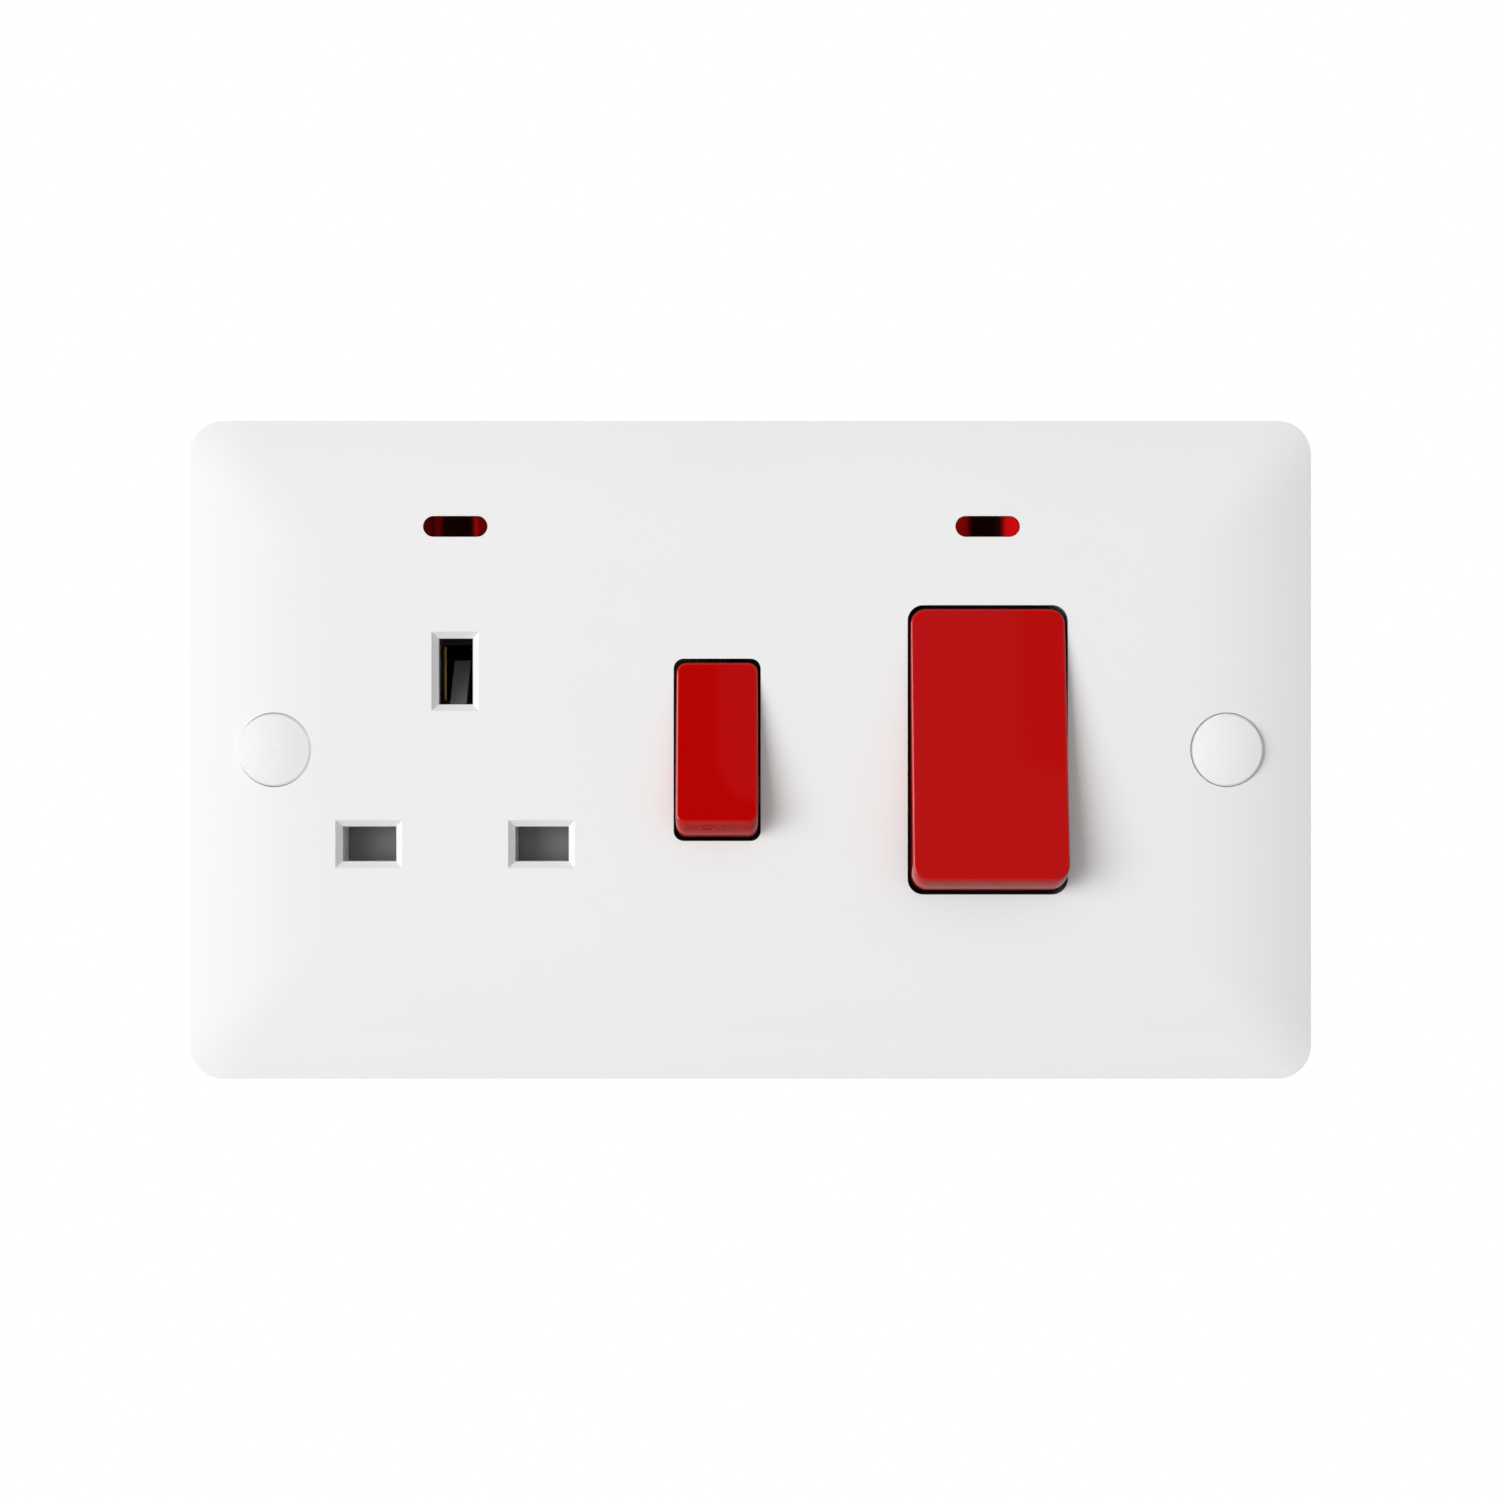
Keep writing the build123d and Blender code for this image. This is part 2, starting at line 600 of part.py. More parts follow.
with BuildPart() as plate_space:
    add(plate_hollow)
    with BuildSketch(level(WELL_END)):
        well_sketch(COOKER_X, COOKER_ROCKER_WIDTH, COOKER_RADIUS, COOKER_CORNER, WELL_WALL)
        well_sketch(SOCKET_SWITCH_X, SOCKET_ROCKER_WIDTH, SOCKET_RADIUS, SOCKET_CORNER, WELL_WALL)
        with Locations(*CAP_PLACES):
            Circle(PILLAR_RADIUS)
    extrude(amount=PLATE_FACE, mode=Mode.SUBTRACT)
    with BuildSketch(level(TUNNEL_END)):
        with Locations(*PIN_PLACES):
            Rectangle(PIN_SLOT_WIDTH + 2 * TUNNEL_WALL, PIN_SLOT_HEIGHT + 2 * TUNNEL_WALL)
    extrude(amount=TUNNEL_DEPTH, mode=Mode.SUBTRACT)
    with BuildSketch(FRONT):
        with Locations(*COOKER_SCREWS, *SOCKET_SCREWS):
            Circle(BOSS_RADIUS)
    extrude(amount=PLATE_FACE, mode=Mode.SUBTRACT)

with BuildPart() as front_plate:
    add(plate_solid)
    add(plate_space.part, mode=Mode.SUBTRACT)
    with BuildSketch(FRONT):
        well_sketch(COOKER_X, COOKER_ROCKER_WIDTH, COOKER_RADIUS, COOKER_CORNER, 0)
        well_sketch(SOCKET_SWITCH_X, SOCKET_ROCKER_WIDTH, SOCKET_RADIUS, SOCKET_CORNER, 0)
        with Locations(*NEON_PLACES):
            SlotOverall(LENS_WIDTH + 2 * THREAD_GAP, LENS_HEIGHT + 2 * THREAD_GAP)
        with Locations(*FIXING_PLACES):
            Circle(FIXING_THREAD_RADIUS + FIT)
    extrude(amount=PLATE_FACE, mode=Mode.SUBTRACT)
    with BuildSketch(level(FIXING_SEAT)):
        with Locations(*CAP_PLACES):
            Circle(CAP_PLUG_RADIUS + FIT)
    extrude(amount=PLATE_FACE, mode=Mode.SUBTRACT)
    with BuildSketch(level(CAP_SHOULDER)):
        with Locations(*CAP_PLACES):
            Circle(CAP_RADIUS + FIT / 2)
    extrude(amount=PLATE_FACE, mode=Mode.SUBTRACT)
    with BuildSketch(level(PLATE_INSIDE)):
        with Locations(*NEON_PLACES):
            SlotOverall(LENS_WIDTH + 2 * LENS_FLANGE + 2 * FIT, LENS_HEIGHT + 2 * LENS_FLANGE + 2 * FIT)
    extrude(amount=-LENS_FLANGE, mode=Mode.SUBTRACT)
    with BuildSketch(FRONT):
        with Locations(*COOKER_SCREWS, *SOCKET_SCREWS):
            Circle(BASE_SCREW_RADIUS + THREAD_GAP)
    extrude(amount=BASE_SCREW_GRIP + FIT, mode=Mode.SUBTRACT)
    with BuildSketch(FRONT):
        with Locations(*PIN_PLACES):
            Rectangle(PIN_SLOT_WIDTH, PIN_SLOT_HEIGHT)
        with Locations((SOCKET_X, EARTH_Z)):
            Rectangle(EARTH_SLOT_WIDTH, EARTH_SLOT_HEIGHT)
    extrude(amount=PLATE_FACE, mode=Mode.SUBTRACT)
    mouths = front_plate.edges(Select.LAST).group_by(Axis.Y)[0]
    chamfer(mouths, length=SLOT_BEVEL)
save(front_plate.part, "front_plate")

# Rockers, in the OFF position
cooker_rocker = rocker(
    COOKER_PIVOT,
    COOKER_ROCKER_WIDTH,
    COOKER_RADIUS,
    COOKER_ROCKER_TOP,
    COOKER_CORNER,
    COOKER_PLUNGER_RADIUS,
    (-POLE_OFFSET, POLE_OFFSET),
)
save(cooker_rocker, "cooker_rocker")
socket_rocker = rocker(
    SOCKET_PIVOT,
    SOCKET_ROCKER_WIDTH,
    SOCKET_RADIUS,
    SOCKET_ROCKER_TOP,
    SOCKET_CORNER,
    SOCKET_PLUNGER_RADIUS,
    (0,),
)
save(socket_rocker, "socket_rocker")

# Plungers and their springs
COOKER_POLES = {"line": -POLE_OFFSET, "neutral": POLE_OFFSET}
for pole, offset_x in COOKER_POLES.items():
    save(
        plunger(COOKER_PIVOT, offset_x, COOKER_PLUNGER_RADIUS, COOKER_PLUNGER_REACH),
        f"cooker_plunger_{pole}",
    )
    save(
        plunger_spring(COOKER_PIVOT, offset_x, COOKER_PLUNGER_RADIUS, COOKER_ROCKER_TOP),
        f"cooker_spring_{pole}",
    )
save(plunger(SOCKET_PIVOT, 0, SOCKET_PLUNGER_RADIUS, SOCKET_PLUNGER_REACH), "socket_plunger")
save(plunger_spring(SOCKET_PIVOT, 0, SOCKET_PLUNGER_RADIUS, SOCKET_ROCKER_TOP), "socket_spring")

# Seesaw contacts, tilted away from the fixed contacts
for pole, offset_x in COOKER_POLES.items():
    axis = tilted(COOKER_X + offset_x, COOKER_AXIS_HEIGHT, -SEESAW_TILT)
    save(
        seesaw(axis, COOKER_SEESAW_WIDTH, COOKER_SEESAW_THICKNESS, COOKER_CONTACT_ARM),
        f"cooker_seesaw_{pole}",
    )
save(
    seesaw(SOCKET_AXIS, SOCKET_SEESAW_WIDTH, SOCKET_SEESAW_THICKNESS, SOCKET_CONTACT_ARM),
    "socket_seesaw",
)

# Cooker supply strips carry the seesaws, load strips the fixed contacts
for pole, offset_x in COOKER_POLES.items():
    pole_x = COOKER_X + offset_x
    side = 1 if offset_x > 0 else -1
    strip_sides = (pole_x - COOKER_STRIP_HALF, pole_x + COOKER_STRIP_HALF)
    tongue_sides = (COOKER_X + side * TONGUE_INNER, COOKER_X + side * TONGUE_OUTER)
    with BuildPart() as supply_strip:
        slab(*strip_sides, -BAY_START, EAR_HALF, -WELL_FLOOR, STRIP_THICKNESS)
        slab(*tongue_sides, -TONGUE_END, -BAY_START, -WELL_FLOOR, STRIP_THICKNESS)
        ear_pair(pole_x, COOKER_SEESAW_WIDTH, COOKER_AXIS_HEIGHT)
    save(supply_strip.part, f"{pole}_supply_strip")
    with BuildPart() as load_strip:
        strip_start = COOKER_CONTACT_ARM - 2 * BUTTON_RADIUS
        slab(*strip_sides, strip_start, BAY_START, -WELL_FLOOR, STRIP_THICKNESS)
        slab(*tongue_sides, BAY_START, TONGUE_END, -WELL_FLOOR, STRIP_THICKNESS)
        with BuildSketch(level(STRIP_TOP)):
            with Locations((pole_x, COOKER_CONTACT_ARM)):
                Circle(BUTTON_RADIUS)
        extrude(
            amount=contact_height(COOKER_AXIS_HEIGHT, COOKER_SEESAW_THICKNESS, COOKER_CONTACT_ARM) - STRIP_TOP
        )
    save(load_strip.part, f"{pole}_load_strip")

# Cable terminals and their screws
clamp_places = []
for pole, offset_x in COOKER_POLES.items():
    side = 1 if offset_x > 0 else -1
    terminal_x = COOKER_X + side * TERMINAL_OFFSET
    for end, up in (("supply", -1), ("load", 1)):
        terminal_z = up * TERMINAL_MIDDLE
        screw_zs = (terminal_z - CLAMP_SCREW_PITCH / 2, terminal_z + CLAMP_SCREW_PITCH / 2)
        clamp_places += [(terminal_x, screw_z) for screw_z in screw_zs]
        block = terminal(
            terminal_x,
            terminal_z,
            TERMINAL_REAR,
            TERMINAL_WIDTH,
            TERMINAL_LENGTH,
            TERMINAL_DEPTH,
            TERMINAL_BORE_RADIUS,
            -WELL_FLOOR - TERMINAL_BORE_DEPTH,
            screw_zs,
        )
        save(block, f"{pole}_{end}_terminal")
clamp_length = TERMINAL_DEPTH - TERMINAL_BORE_DEPTH - TERMINAL_BORE_RADIUS - CONTACT_GAP
save(clamp_screws(clamp_places, TERMINAL_REAR, clamp_length), "terminal_screws")

# Earth terminals and their screws
earth_blocks = [
    terminal(
        x,
        EARTH_TERMINAL_MIDDLE,
        EARTH_TERMINAL_REAR,
        EARTH_TERMINAL_WIDTH,
        EARTH_TERMINAL_LENGTH,
        EARTH_TERMINAL_DEPTH,
        EARTH_BORE_RADIUS,
        -EARTH_BAY_DEPTH - EARTH_BORE_DEPTH,
        (EARTH_TERMINAL_MIDDLE,),
    )
    for x in EARTH_TERMINAL_XS
]
save(Compound(children=earth_blocks), "earth_terminals")
earth_clamp_length = EARTH_TERMINAL_DEPTH - EARTH_BORE_DEPTH - EARTH_BORE_RADIUS - CONTACT_GAP
earth_places = [(x, EARTH_TERMINAL_MIDDLE) for x in EARTH_TERMINAL_XS]
save(clamp_screws(earth_places, EARTH_TERMINAL_REAR, earth_clamp_length), "earth_screws")

# Pin receptacles
strip_floor = -WELL_FLOOR
with BuildPart() as neutral_contact:
    with BuildSketch(upright_at(NEUTRAL_X)):
        leaf_section(PIN_Z, RECEPTACLE_HALF, RECEPTACLE_NECK, RECEPTACLE_MOUTH, WELL_FLOOR)
    extrude(amount=RECEPTACLE_WIDTH / 2, both=True)
    slab(
        NEUTRAL_X - TAIL_WIDTH / 2,
        NEUTRAL_X + TAIL_WIDTH / 2,
        NEUTRAL_LINK_Z - NEUTRAL_LINK_WIDTH / 2,
        PIN_Z,
        strip_floor,
        LEAF_THICKNESS,
    )
save(neutral_contact.part, "neutral_contact")

socket_contact_height = contact_height(SOCKET_AXIS_HEIGHT, SOCKET_SEESAW_THICKNESS, SOCKET_CONTACT_ARM)
line_turn = SOCKET_CONTACT_ARM + TAIL_WIDTH / 2
with BuildPart() as line_contact:
    with BuildSketch(upright_at(LINE_X)):
        leaf_section(PIN_Z, RECEPTACLE_HALF, RECEPTACLE_NECK, RECEPTACLE_MOUTH, WELL_FLOOR)
    extrude(amount=RECEPTACLE_WIDTH / 2, both=True)
    slab(LINE_X - TAIL_WIDTH / 2, LINE_X + TAIL_WIDTH / 2, PIN_Z, line_turn, strip_floor, LEAF_THICKNESS)
    slab(
        LINE_X - TAIL_WIDTH / 2,
        SOCKET_SWITCH_X + TAIL_WIDTH / 2,
        SOCKET_CONTACT_ARM - TAIL_WIDTH / 2,
        line_turn,
        strip_floor,
        LEAF_THICKNESS,
    )
    with BuildSketch(level(strip_floor)):
        with Locations((SOCKET_SWITCH_X, SOCKET_CONTACT_ARM)):
            Circle(BUTTON_RADIUS)
    extrude(amount=socket_contact_height - strip_floor)
save(line_contact.part, "line_contact")

earth_rear = SOCKET_BASE_DEPTH - FIT / 2
with BuildPart() as earth_contact:
    with BuildSketch(across_at(EARTH_Z)):
        leaf_section(
            SOCKET_X,
            EARTH_RECEPTACLE_HALF,
            EARTH_RECEPTACLE_NECK,
            EARTH_RECEPTACLE_HALF,
            earth_rear,
        )
    extrude(amount=EARTH_RECEPTACLE_HEIGHT / 2, both=True)
    slab(
        SOCKET_X - EARTH_RECEPTACLE_HALF,
        EARTH_BAY_RIGHT - FIT,
        EARTH_Z - EARTH_STRIP_WIDTH / 2,
        EARTH_Z + EARTH_STRIP_WIDTH / 2,
        -earth_rear,
        LEAF_THICKNESS,
    )
    slab(
        EARTH_BAY_LEFT + FIT,
        EARTH_BAY_RIGHT - FIT,
        EARTH_Z,
        EARTH_FLANGE_Z,
        -earth_rear,
        LEAF_THICKNESS,
    )
    slab(
        EARTH_BAY_LEFT + FIT,
        EARTH_BAY_RIGHT - FIT,
        EARTH_FLANGE_Z - LEAF_THICKNESS,
        EARTH_FLANGE_Z,
        -earth_rear,
        EARTH_FLANGE,
    )
save(earth_contact.part, "earth_contact")

# Feed strip of the socket switch, and the two links from the cooker supply
with BuildPart() as socket_feed:
    slab(
        SOCKET_SWITCH_X - SOCKET_STRIP_HALF,
        SOCKET_SWITCH_X + SOCKET_STRIP_HALF,
        LINE_LINK_Z - LINE_LINK_WIDTH,
        EAR_HALF,
        -WELL_FLOOR,
        STRIP_THICKNESS,
    )
    ear_pair(SOCKET_SWITCH_X, SOCKET_SEESAW_WIDTH, SOCKET_AXIS_HEIGHT)
save(socket_feed.part, "socket_feed")

with BuildPart() as line_link:
    slab(
        SOCKET_SWITCH_X - SOCKET_STRIP_HALF,
        COOKER_X - POLE_OFFSET + COOKER_STRIP_HALF,
        LINE_LINK_Z - LINE_LINK_WIDTH / 2,
        LINE_LINK_Z + LINE_LINK_WIDTH / 2,
        STRIP_TOP,
        LINK_THICKNESS,
    )
save(line_link.part, "line_link")

with BuildPart() as neutral_link:
    with BuildSketch(across_at(NEUTRAL_LINK_Z)):
        with BuildLine():
            FilletPolyline(
                (NEUTRAL_X, LEAF_THICKNESS - WELL_FLOOR),
                (NEUTRAL_X, LINK_THICKNESS / 2),
                (NEUTRAL_POLE_X, LINK_THICKNESS / 2),
                (NEUTRAL_POLE_X, STRIP_TOP),
                radius=LINK_THICKNESS,
            )
        trace(line_width=LINK_THICKNESS)
    extrude(amount=NEUTRAL_LINK_WIDTH / 2, both=True)
save(neutral_link.part, "neutral_link")

# Shutter, with its ramp behind the earth slot
spine_low = SHUTTER_GAP
spine_high = SHUTTER_GAP + SHUTTER_THICKNESS
ramp_tip = RAMP_LIP - RAMP_TIP_DEPTH
hump_end = RAMP_TIP_Z - HUMP_HEIGHT + ramp_tip
hump_start = hump_end - HUMP_LENGTH
foot_z = RAMP_TIP_Z - RAMP_FOOT
shutter_left = NEUTRAL_X - PIN_SLOT_WIDTH / 2 - SHUTTER_COVER
shutter_right = LINE_X + PIN_SLOT_WIDTH / 2 + SHUTTER_COVER
with BuildPart() as shutter:
    slab(shutter_left, shutter_right, SHUTTER_LOW, SHUTTER_HIGH, spine_low, SHUTTER_THICKNESS)
    with BuildSketch(upright_at(SOCKET_X)):
        Polygon(
            (SHUTTER_LOW, spine_low),
            (SHUTTER_LOW, spine_high),
            (hump_start - HUMP_HEIGHT + spine_high, spine_high),
            (hump_start, HUMP_HEIGHT),
            (hump_end, HUMP_HEIGHT),
            (RAMP_TIP_Z, ramp_tip),
            (RAMP_TIP_Z, -RAMP_TIP_DEPTH),
            (foot_z, -RAMP_TIP_DEPTH),
            (foot_z - RAMP_TIP_DEPTH - spine_low, spine_low),
            align=None,
        )
    extrude(amount=SPINE_WIDTH / 2, both=True)
save(shutter.part, "shutter")

spring_seat = Plane(
    origin=(SOCKET_X, -SHUTTER_SPRING_HEIGHT, SPRING_STOP_Z + SHUTTER_GAP / 2),
    x_dir=(1, 0, 0),
    z_dir=(0, 0, 1),
)
save(coil_spring(spring_seat, SHUTTER_SPRING_RADIUS, SHUTTER_SPRING_LENGTH), "shutter_spring")

# Base of the socket and its switch
socket_base_width = SOCKET_BASE_RIGHT - SOCKET_BASE_LEFT
pocket_width = RECEPTACLE_WIDTH / 2 + FIT
pocket_height = RECEPTACLE_HALF + LEAF_THICKNESS / 2 + FIT
earth_pocket_width = EARTH_RECEPTACLE_HALF + LEAF_THICKNESS / 2 + FIT
earth_pocket_height = EARTH_RECEPTACLE_HEIGHT / 2 + FIT
tail_half = TAIL_WIDTH / 2 + FIT
earth_channel = LEAF_THICKNESS + FIT
spring_half = SHUTTER_SPRING_RADIUS + SPRING_WIRE / 2 + FIT
spring_groove = spring_half - SHUTTER_SPRING_HEIGHT
guide_inner = SPINE_WIDTH / 2 + SHUTTER_GAP
with BuildPart() as socket_base:
    with BuildSketch(level(-SOCKET_BASE_DEPTH)):
        with Locations(((SOCKET_BASE_LEFT + SOCKET_BASE_RIGHT) / 2, 0)):
            RectangleRounded(socket_base_width, BASE_HEIGHT, BASE_CORNER)
    extrude(amount=SOCKET_BASE_DEPTH)
    slab(
        EARTH_BAY_LEFT,
        EARTH_BAY_RIGHT,
        EARTH_BAY_Z,
        BASE_HEIGHT / 2,
        -SOCKET_BASE_DEPTH,
        SOCKET_BASE_DEPTH - EARTH_BAY_DEPTH,
        Mode.SUBTRACT,
    )
    for pin_x, pin_z in PIN_PLACES:
        slab(
            pin_x - pocket_width,
            pin_x + pocket_width,
            pin_z - pocket_height,
            pin_z + pocket_height,
            -WELL_FLOOR,
            WELL_FLOOR,
            Mode.SUBTRACT,
        )
    slab(
        NEUTRAL_X - tail_half,
        NEUTRAL_X + tail_half,
        NEUTRAL_LINK_Z - NEUTRAL_LINK_WIDTH / 2 - FIT,
        PIN_Z,
        -WELL_FLOOR,
        WELL_FLOOR,
        Mode.SUBTRACT,
    )
    slab(
        LINE_X - tail_half,
        LINE_X + tail_half,
        PIN_Z,
        SOCKET_CONTACT_ARM + tail_half,
        -WELL_FLOOR,
        WELL_FLOOR,
        Mode.SUBTRACT,
    )
    slab(
        LINE_X - tail_half,
        SOCKET_SWITCH_X,
        SOCKET_CONTACT_ARM - tail_half,
        SOCKET_CONTACT_ARM + tail_half,
        -WELL_FLOOR,
        WELL_FLOOR,
        Mode.SUBTRACT,
    )
    slab(
        SOCKET_SWITCH_X - SOCKET_WELL_HALF,
        SOCKET_SWITCH_X + SOCKET_WELL_HALF,
        -SOCKET_WELL_HEIGHT / 2,
        SOCKET_WELL_HEIGHT / 2,
        -WELL_FLOOR,
        WELL_FLOOR,
        Mode.SUBTRACT,
    )
    slab(
        SOCKET_SWITCH_X,
        SOCKET_BASE_RIGHT,
        LINE_LINK_Z - LINE_LINK_WIDTH / 2 - FIT,
        LINE_LINK_Z + LINE_LINK_WIDTH / 2 + FIT,
        STRIP_TOP,
        -STRIP_TOP,
        Mode.SUBTRACT,
    )
    slab(
        SOCKET_X - earth_pocket_width,
        SOCKET_X + earth_pocket_width,
        EARTH_Z - earth_pocket_height,
        EARTH_Z + earth_pocket_height,
        -SOCKET_BASE_DEPTH,
        SOCKET_BASE_DEPTH,
        Mode.SUBTRACT,
    )
    slab(
        SOCKET_X - EARTH_RECEPTACLE_HALF - FIT,
        EARTH_BAY_RIGHT,
        EARTH_Z - EARTH_STRIP_WIDTH / 2 - FIT,
        EARTH_Z + EARTH_STRIP_WIDTH / 2 + FIT,
        -SOCKET_BASE_DEPTH,
        earth_channel,
        Mode.SUBTRACT,
    )
    slab(
        EARTH_BAY_LEFT,
        EARTH_BAY_RIGHT,
        EARTH_Z,
        EARTH_BAY_Z,
        -SOCKET_BASE_DEPTH,
        earth_channel,
        Mode.SUBTRACT,
    )
    slab(
        SOCKET_X - guide_inner,
        SOCKET_X + guide_inner,
        foot_z - RAMP_TIP_DEPTH - SHUTTER_TRAVEL - FIT,
        EARTH_Z,
        -RAMP_TIP_DEPTH - FIT,
        RAMP_TIP_DEPTH + FIT,
        Mode.SUBTRACT,
    )
    slab(
        SOCKET_X - spring_half,
        SOCKET_X + spring_half,
        SPRING_STOP_Z,
        SHUTTER_LOW,
        -spring_groove,
        spring_groove,
        Mode.SUBTRACT,
    )
    with BuildSketch(level(-SOCKET_BASE_DEPTH)):
        with Locations((SOCKET_CORES_X, SOCKET_CORES_Z)):
            with GridLocations(SOCKET_CORE_PITCH, SOCKET_CORE_PITCH, 3, 3):
                RectangleRounded(SOCKET_CORE_PITCH - CORE_WALL, SOCKET_CORE_PITCH - CORE_WALL, CORE_CORNER)
        with Locations((SOCKET_SWITCH_X, SOCKET_CORES_Z)):
            with GridLocations(0, SOCKET_CORE_PITCH, 1, 3):
                RectangleRounded(SOCKET_CORE_PITCH, SOCKET_CORE_PITCH - CORE_WALL, CORE_CORNER)
    extrude(amount=SOCKET_CORE_DEPTH, mode=Mode.SUBTRACT)
    lamp_seat(SOCKET_X)
    base_screw_holes(SOCKET_SCREWS, SOCKET_BASE_DEPTH)
    slab(
        SOCKET_X - spring_half,
        SOCKET_X + spring_half,
        SPRING_STOP_Z - SPRING_STOP_THICKNESS,
        SPRING_STOP_Z,
        0,
        SPRING_STOP_HEIGHT,
    )
    for side in (-1, 1):
        slab(
            SOCKET_X + side * guide_inner,
            SOCKET_X + side * (guide_inner + GUIDE_WALL),
            SHUTTER_HIGH + SHUTTER_GAP,
            0,
            0,
            SHUTTER_THICKNESS,
        )
    post_pair(SOCKET_SWITCH_X, SOCKET_ROCKER_WIDTH, SOCKET_PIVOT_HEIGHT)
save(socket_base.part, "socket_base")

# Base of the cooker switch
barrier_height = BASE_HEIGHT / 2 - BAY_START
barrier_x = TERMINAL_OFFSET + TERMINAL_WIDTH / 2 + FIT + BARRIER_THICKNESS / 2
core_width = (COOKER_BLOCK_WIDTH - 3 * CORE_WALL) / 2
core_height = (COOKER_BLOCK_HEIGHT - 4 * CORE_WALL) / 3
with BuildPart() as cooker_base:
    with BuildSketch(level(-COOKER_DECK_DEPTH)):
        with Locations((COOKER_X, 0)):
            RectangleRounded(COOKER_BASE_WIDTH, BASE_HEIGHT, BASE_CORNER)
    extrude(amount=COOKER_DECK_DEPTH)
    with BuildSketch(level(-COOKER_BLOCK_DEPTH)):
        with Locations((COOKER_X, 0)):
            Rectangle(COOKER_BLOCK_WIDTH, COOKER_BLOCK_HEIGHT)
    extrude(amount=COOKER_BLOCK_DEPTH)
    with BuildSketch(level(-BARRIER_DEPTH)):
        for up in (-1, 1):
            barrier_z = up * (BAY_START + barrier_height / 2)
            with Locations((COOKER_X, barrier_z)):
                Rectangle(CENTRE_BARRIER, barrier_height)
            with Locations((COOKER_X - barrier_x, barrier_z), (COOKER_X + barrier_x, barrier_z)):
                Rectangle(BARRIER_THICKNESS, barrier_height)
    extrude(amount=BARRIER_DEPTH)
    with BuildSketch(level(-COOKER_BLOCK_DEPTH)):
        with Locations((COOKER_X, 0)):
            with GridLocations(core_width + CORE_WALL, core_height + CORE_WALL, 2, 3):
                Rectangle(core_width, core_height)
    extrude(amount=CORE_DEPTH, mode=Mode.SUBTRACT)
    slab(
        COOKER_X - COOKER_WELL_HALF,
        COOKER_X + COOKER_WELL_HALF,
        -COOKER_WELL_HEIGHT / 2,
        COOKER_WELL_HEIGHT / 2,
        -WELL_FLOOR,
        WELL_FLOOR,
        Mode.SUBTRACT,
    )
    slab(
        COOKER_X - POLE_RIB / 2,
        COOKER_X + POLE_RIB / 2,
        -COOKER_WELL_HEIGHT / 2,
        COOKER_WELL_HEIGHT / 2,
        -WELL_FLOOR,
        WELL_FLOOR - POLE_RIB_TOP,
    )
    for offset_x in COOKER_POLES.values():
        for up in (-1, 1):
            slab(
                COOKER_X + offset_x - COOKER_STRIP_HALF - FIT,
                COOKER_X + offset_x + COOKER_STRIP_HALF + FIT,
                up * COOKER_WELL_HEIGHT / 2,
                up * BAY_START,
                -WELL_FLOOR,
                STRIP_THICKNESS + FIT,
                Mode.SUBTRACT,
            )
    slab(
        COOKER_X - COOKER_BASE_WIDTH / 2,
        COOKER_X - POLE_OFFSET,
        LINE_LINK_Z - LINE_LINK_WIDTH / 2 - FIT,
        LINE_LINK_Z + LINE_LINK_WIDTH / 2 + FIT,
        STRIP_TOP,
        -STRIP_TOP,
        Mode.SUBTRACT,
    )
    slab(
        NEUTRAL_POLE_X - LINK_THICKNESS - FIT,
        NEUTRAL_POLE_X + LINK_THICKNESS + FIT,
        NEUTRAL_LINK_Z - NEUTRAL_LINK_WIDTH / 2 - FIT,
        NEUTRAL_LINK_Z + NEUTRAL_LINK_WIDTH / 2 + FIT,
        -COOKER_DECK_DEPTH,
        COOKER_DECK_DEPTH,
        Mode.SUBTRACT,
    )
    lamp_seat(COOKER_X)
    base_screw_holes(COOKER_SCREWS, COOKER_DECK_DEPTH)
    post_pair(COOKER_X, COOKER_ROCKER_WIDTH, COOKER_PIVOT_HEIGHT)
save(cooker_base.part, "cooker_base")

# Indicators
lens_back = PLATE_INSIDE - THREAD_GAP - LENS_FLANGE
for place_name, lens_x in (("left", SOCKET_X), ("right", COOKER_X)):
    with BuildPart() as neon_lens:
        with BuildSketch(level(lens_back)):
            with Locations((lens_x, NEON_Z)):
                SlotOverall(LENS_WIDTH, LENS_HEIGHT)
        extrude(amount=LENS_FRONT - lens_back)
        fillet(neon_lens.edges().group_by(Axis.Y)[0], radius=LENS_EDGE)
        with BuildSketch(level(lens_back)):
            with Locations((lens_x, NEON_Z)):
                SlotOverall(LENS_WIDTH + 2 * LENS_FLANGE, LENS_HEIGHT + 2 * LENS_FLANGE)
        extrude(amount=LENS_FLANGE)
        with BuildSketch(level(lens_back)):
            with Locations((lens_x, NEON_Z)):
                SlotOverall(LENS_WIDTH / 2, LENS_HEIGHT - LENS_FLANGE)
        extrude(amount=LENS_FRONT - LENS_FLANGE - lens_back, mode=Mode.SUBTRACT)
    save(neon_lens.part, f"neon_lens_{place_name}")
    with BuildPart() as neon_lamp:
        with BuildSketch(level(-LAMP_SEAT_DEPTH)):
            with Locations((lens_x, NEON_Z)):
                Circle(LAMP_RADIUS)
        extrude(amount=LAMP_SEAT_DEPTH + lens_back - FIT)
        fillet(neon_lamp.edges().group_by(Axis.Y)[0], radius=TIP_ROUNDING * LAMP_RADIUS)
    save(neon_lamp.part, f"neon_lamp_{place_name}")

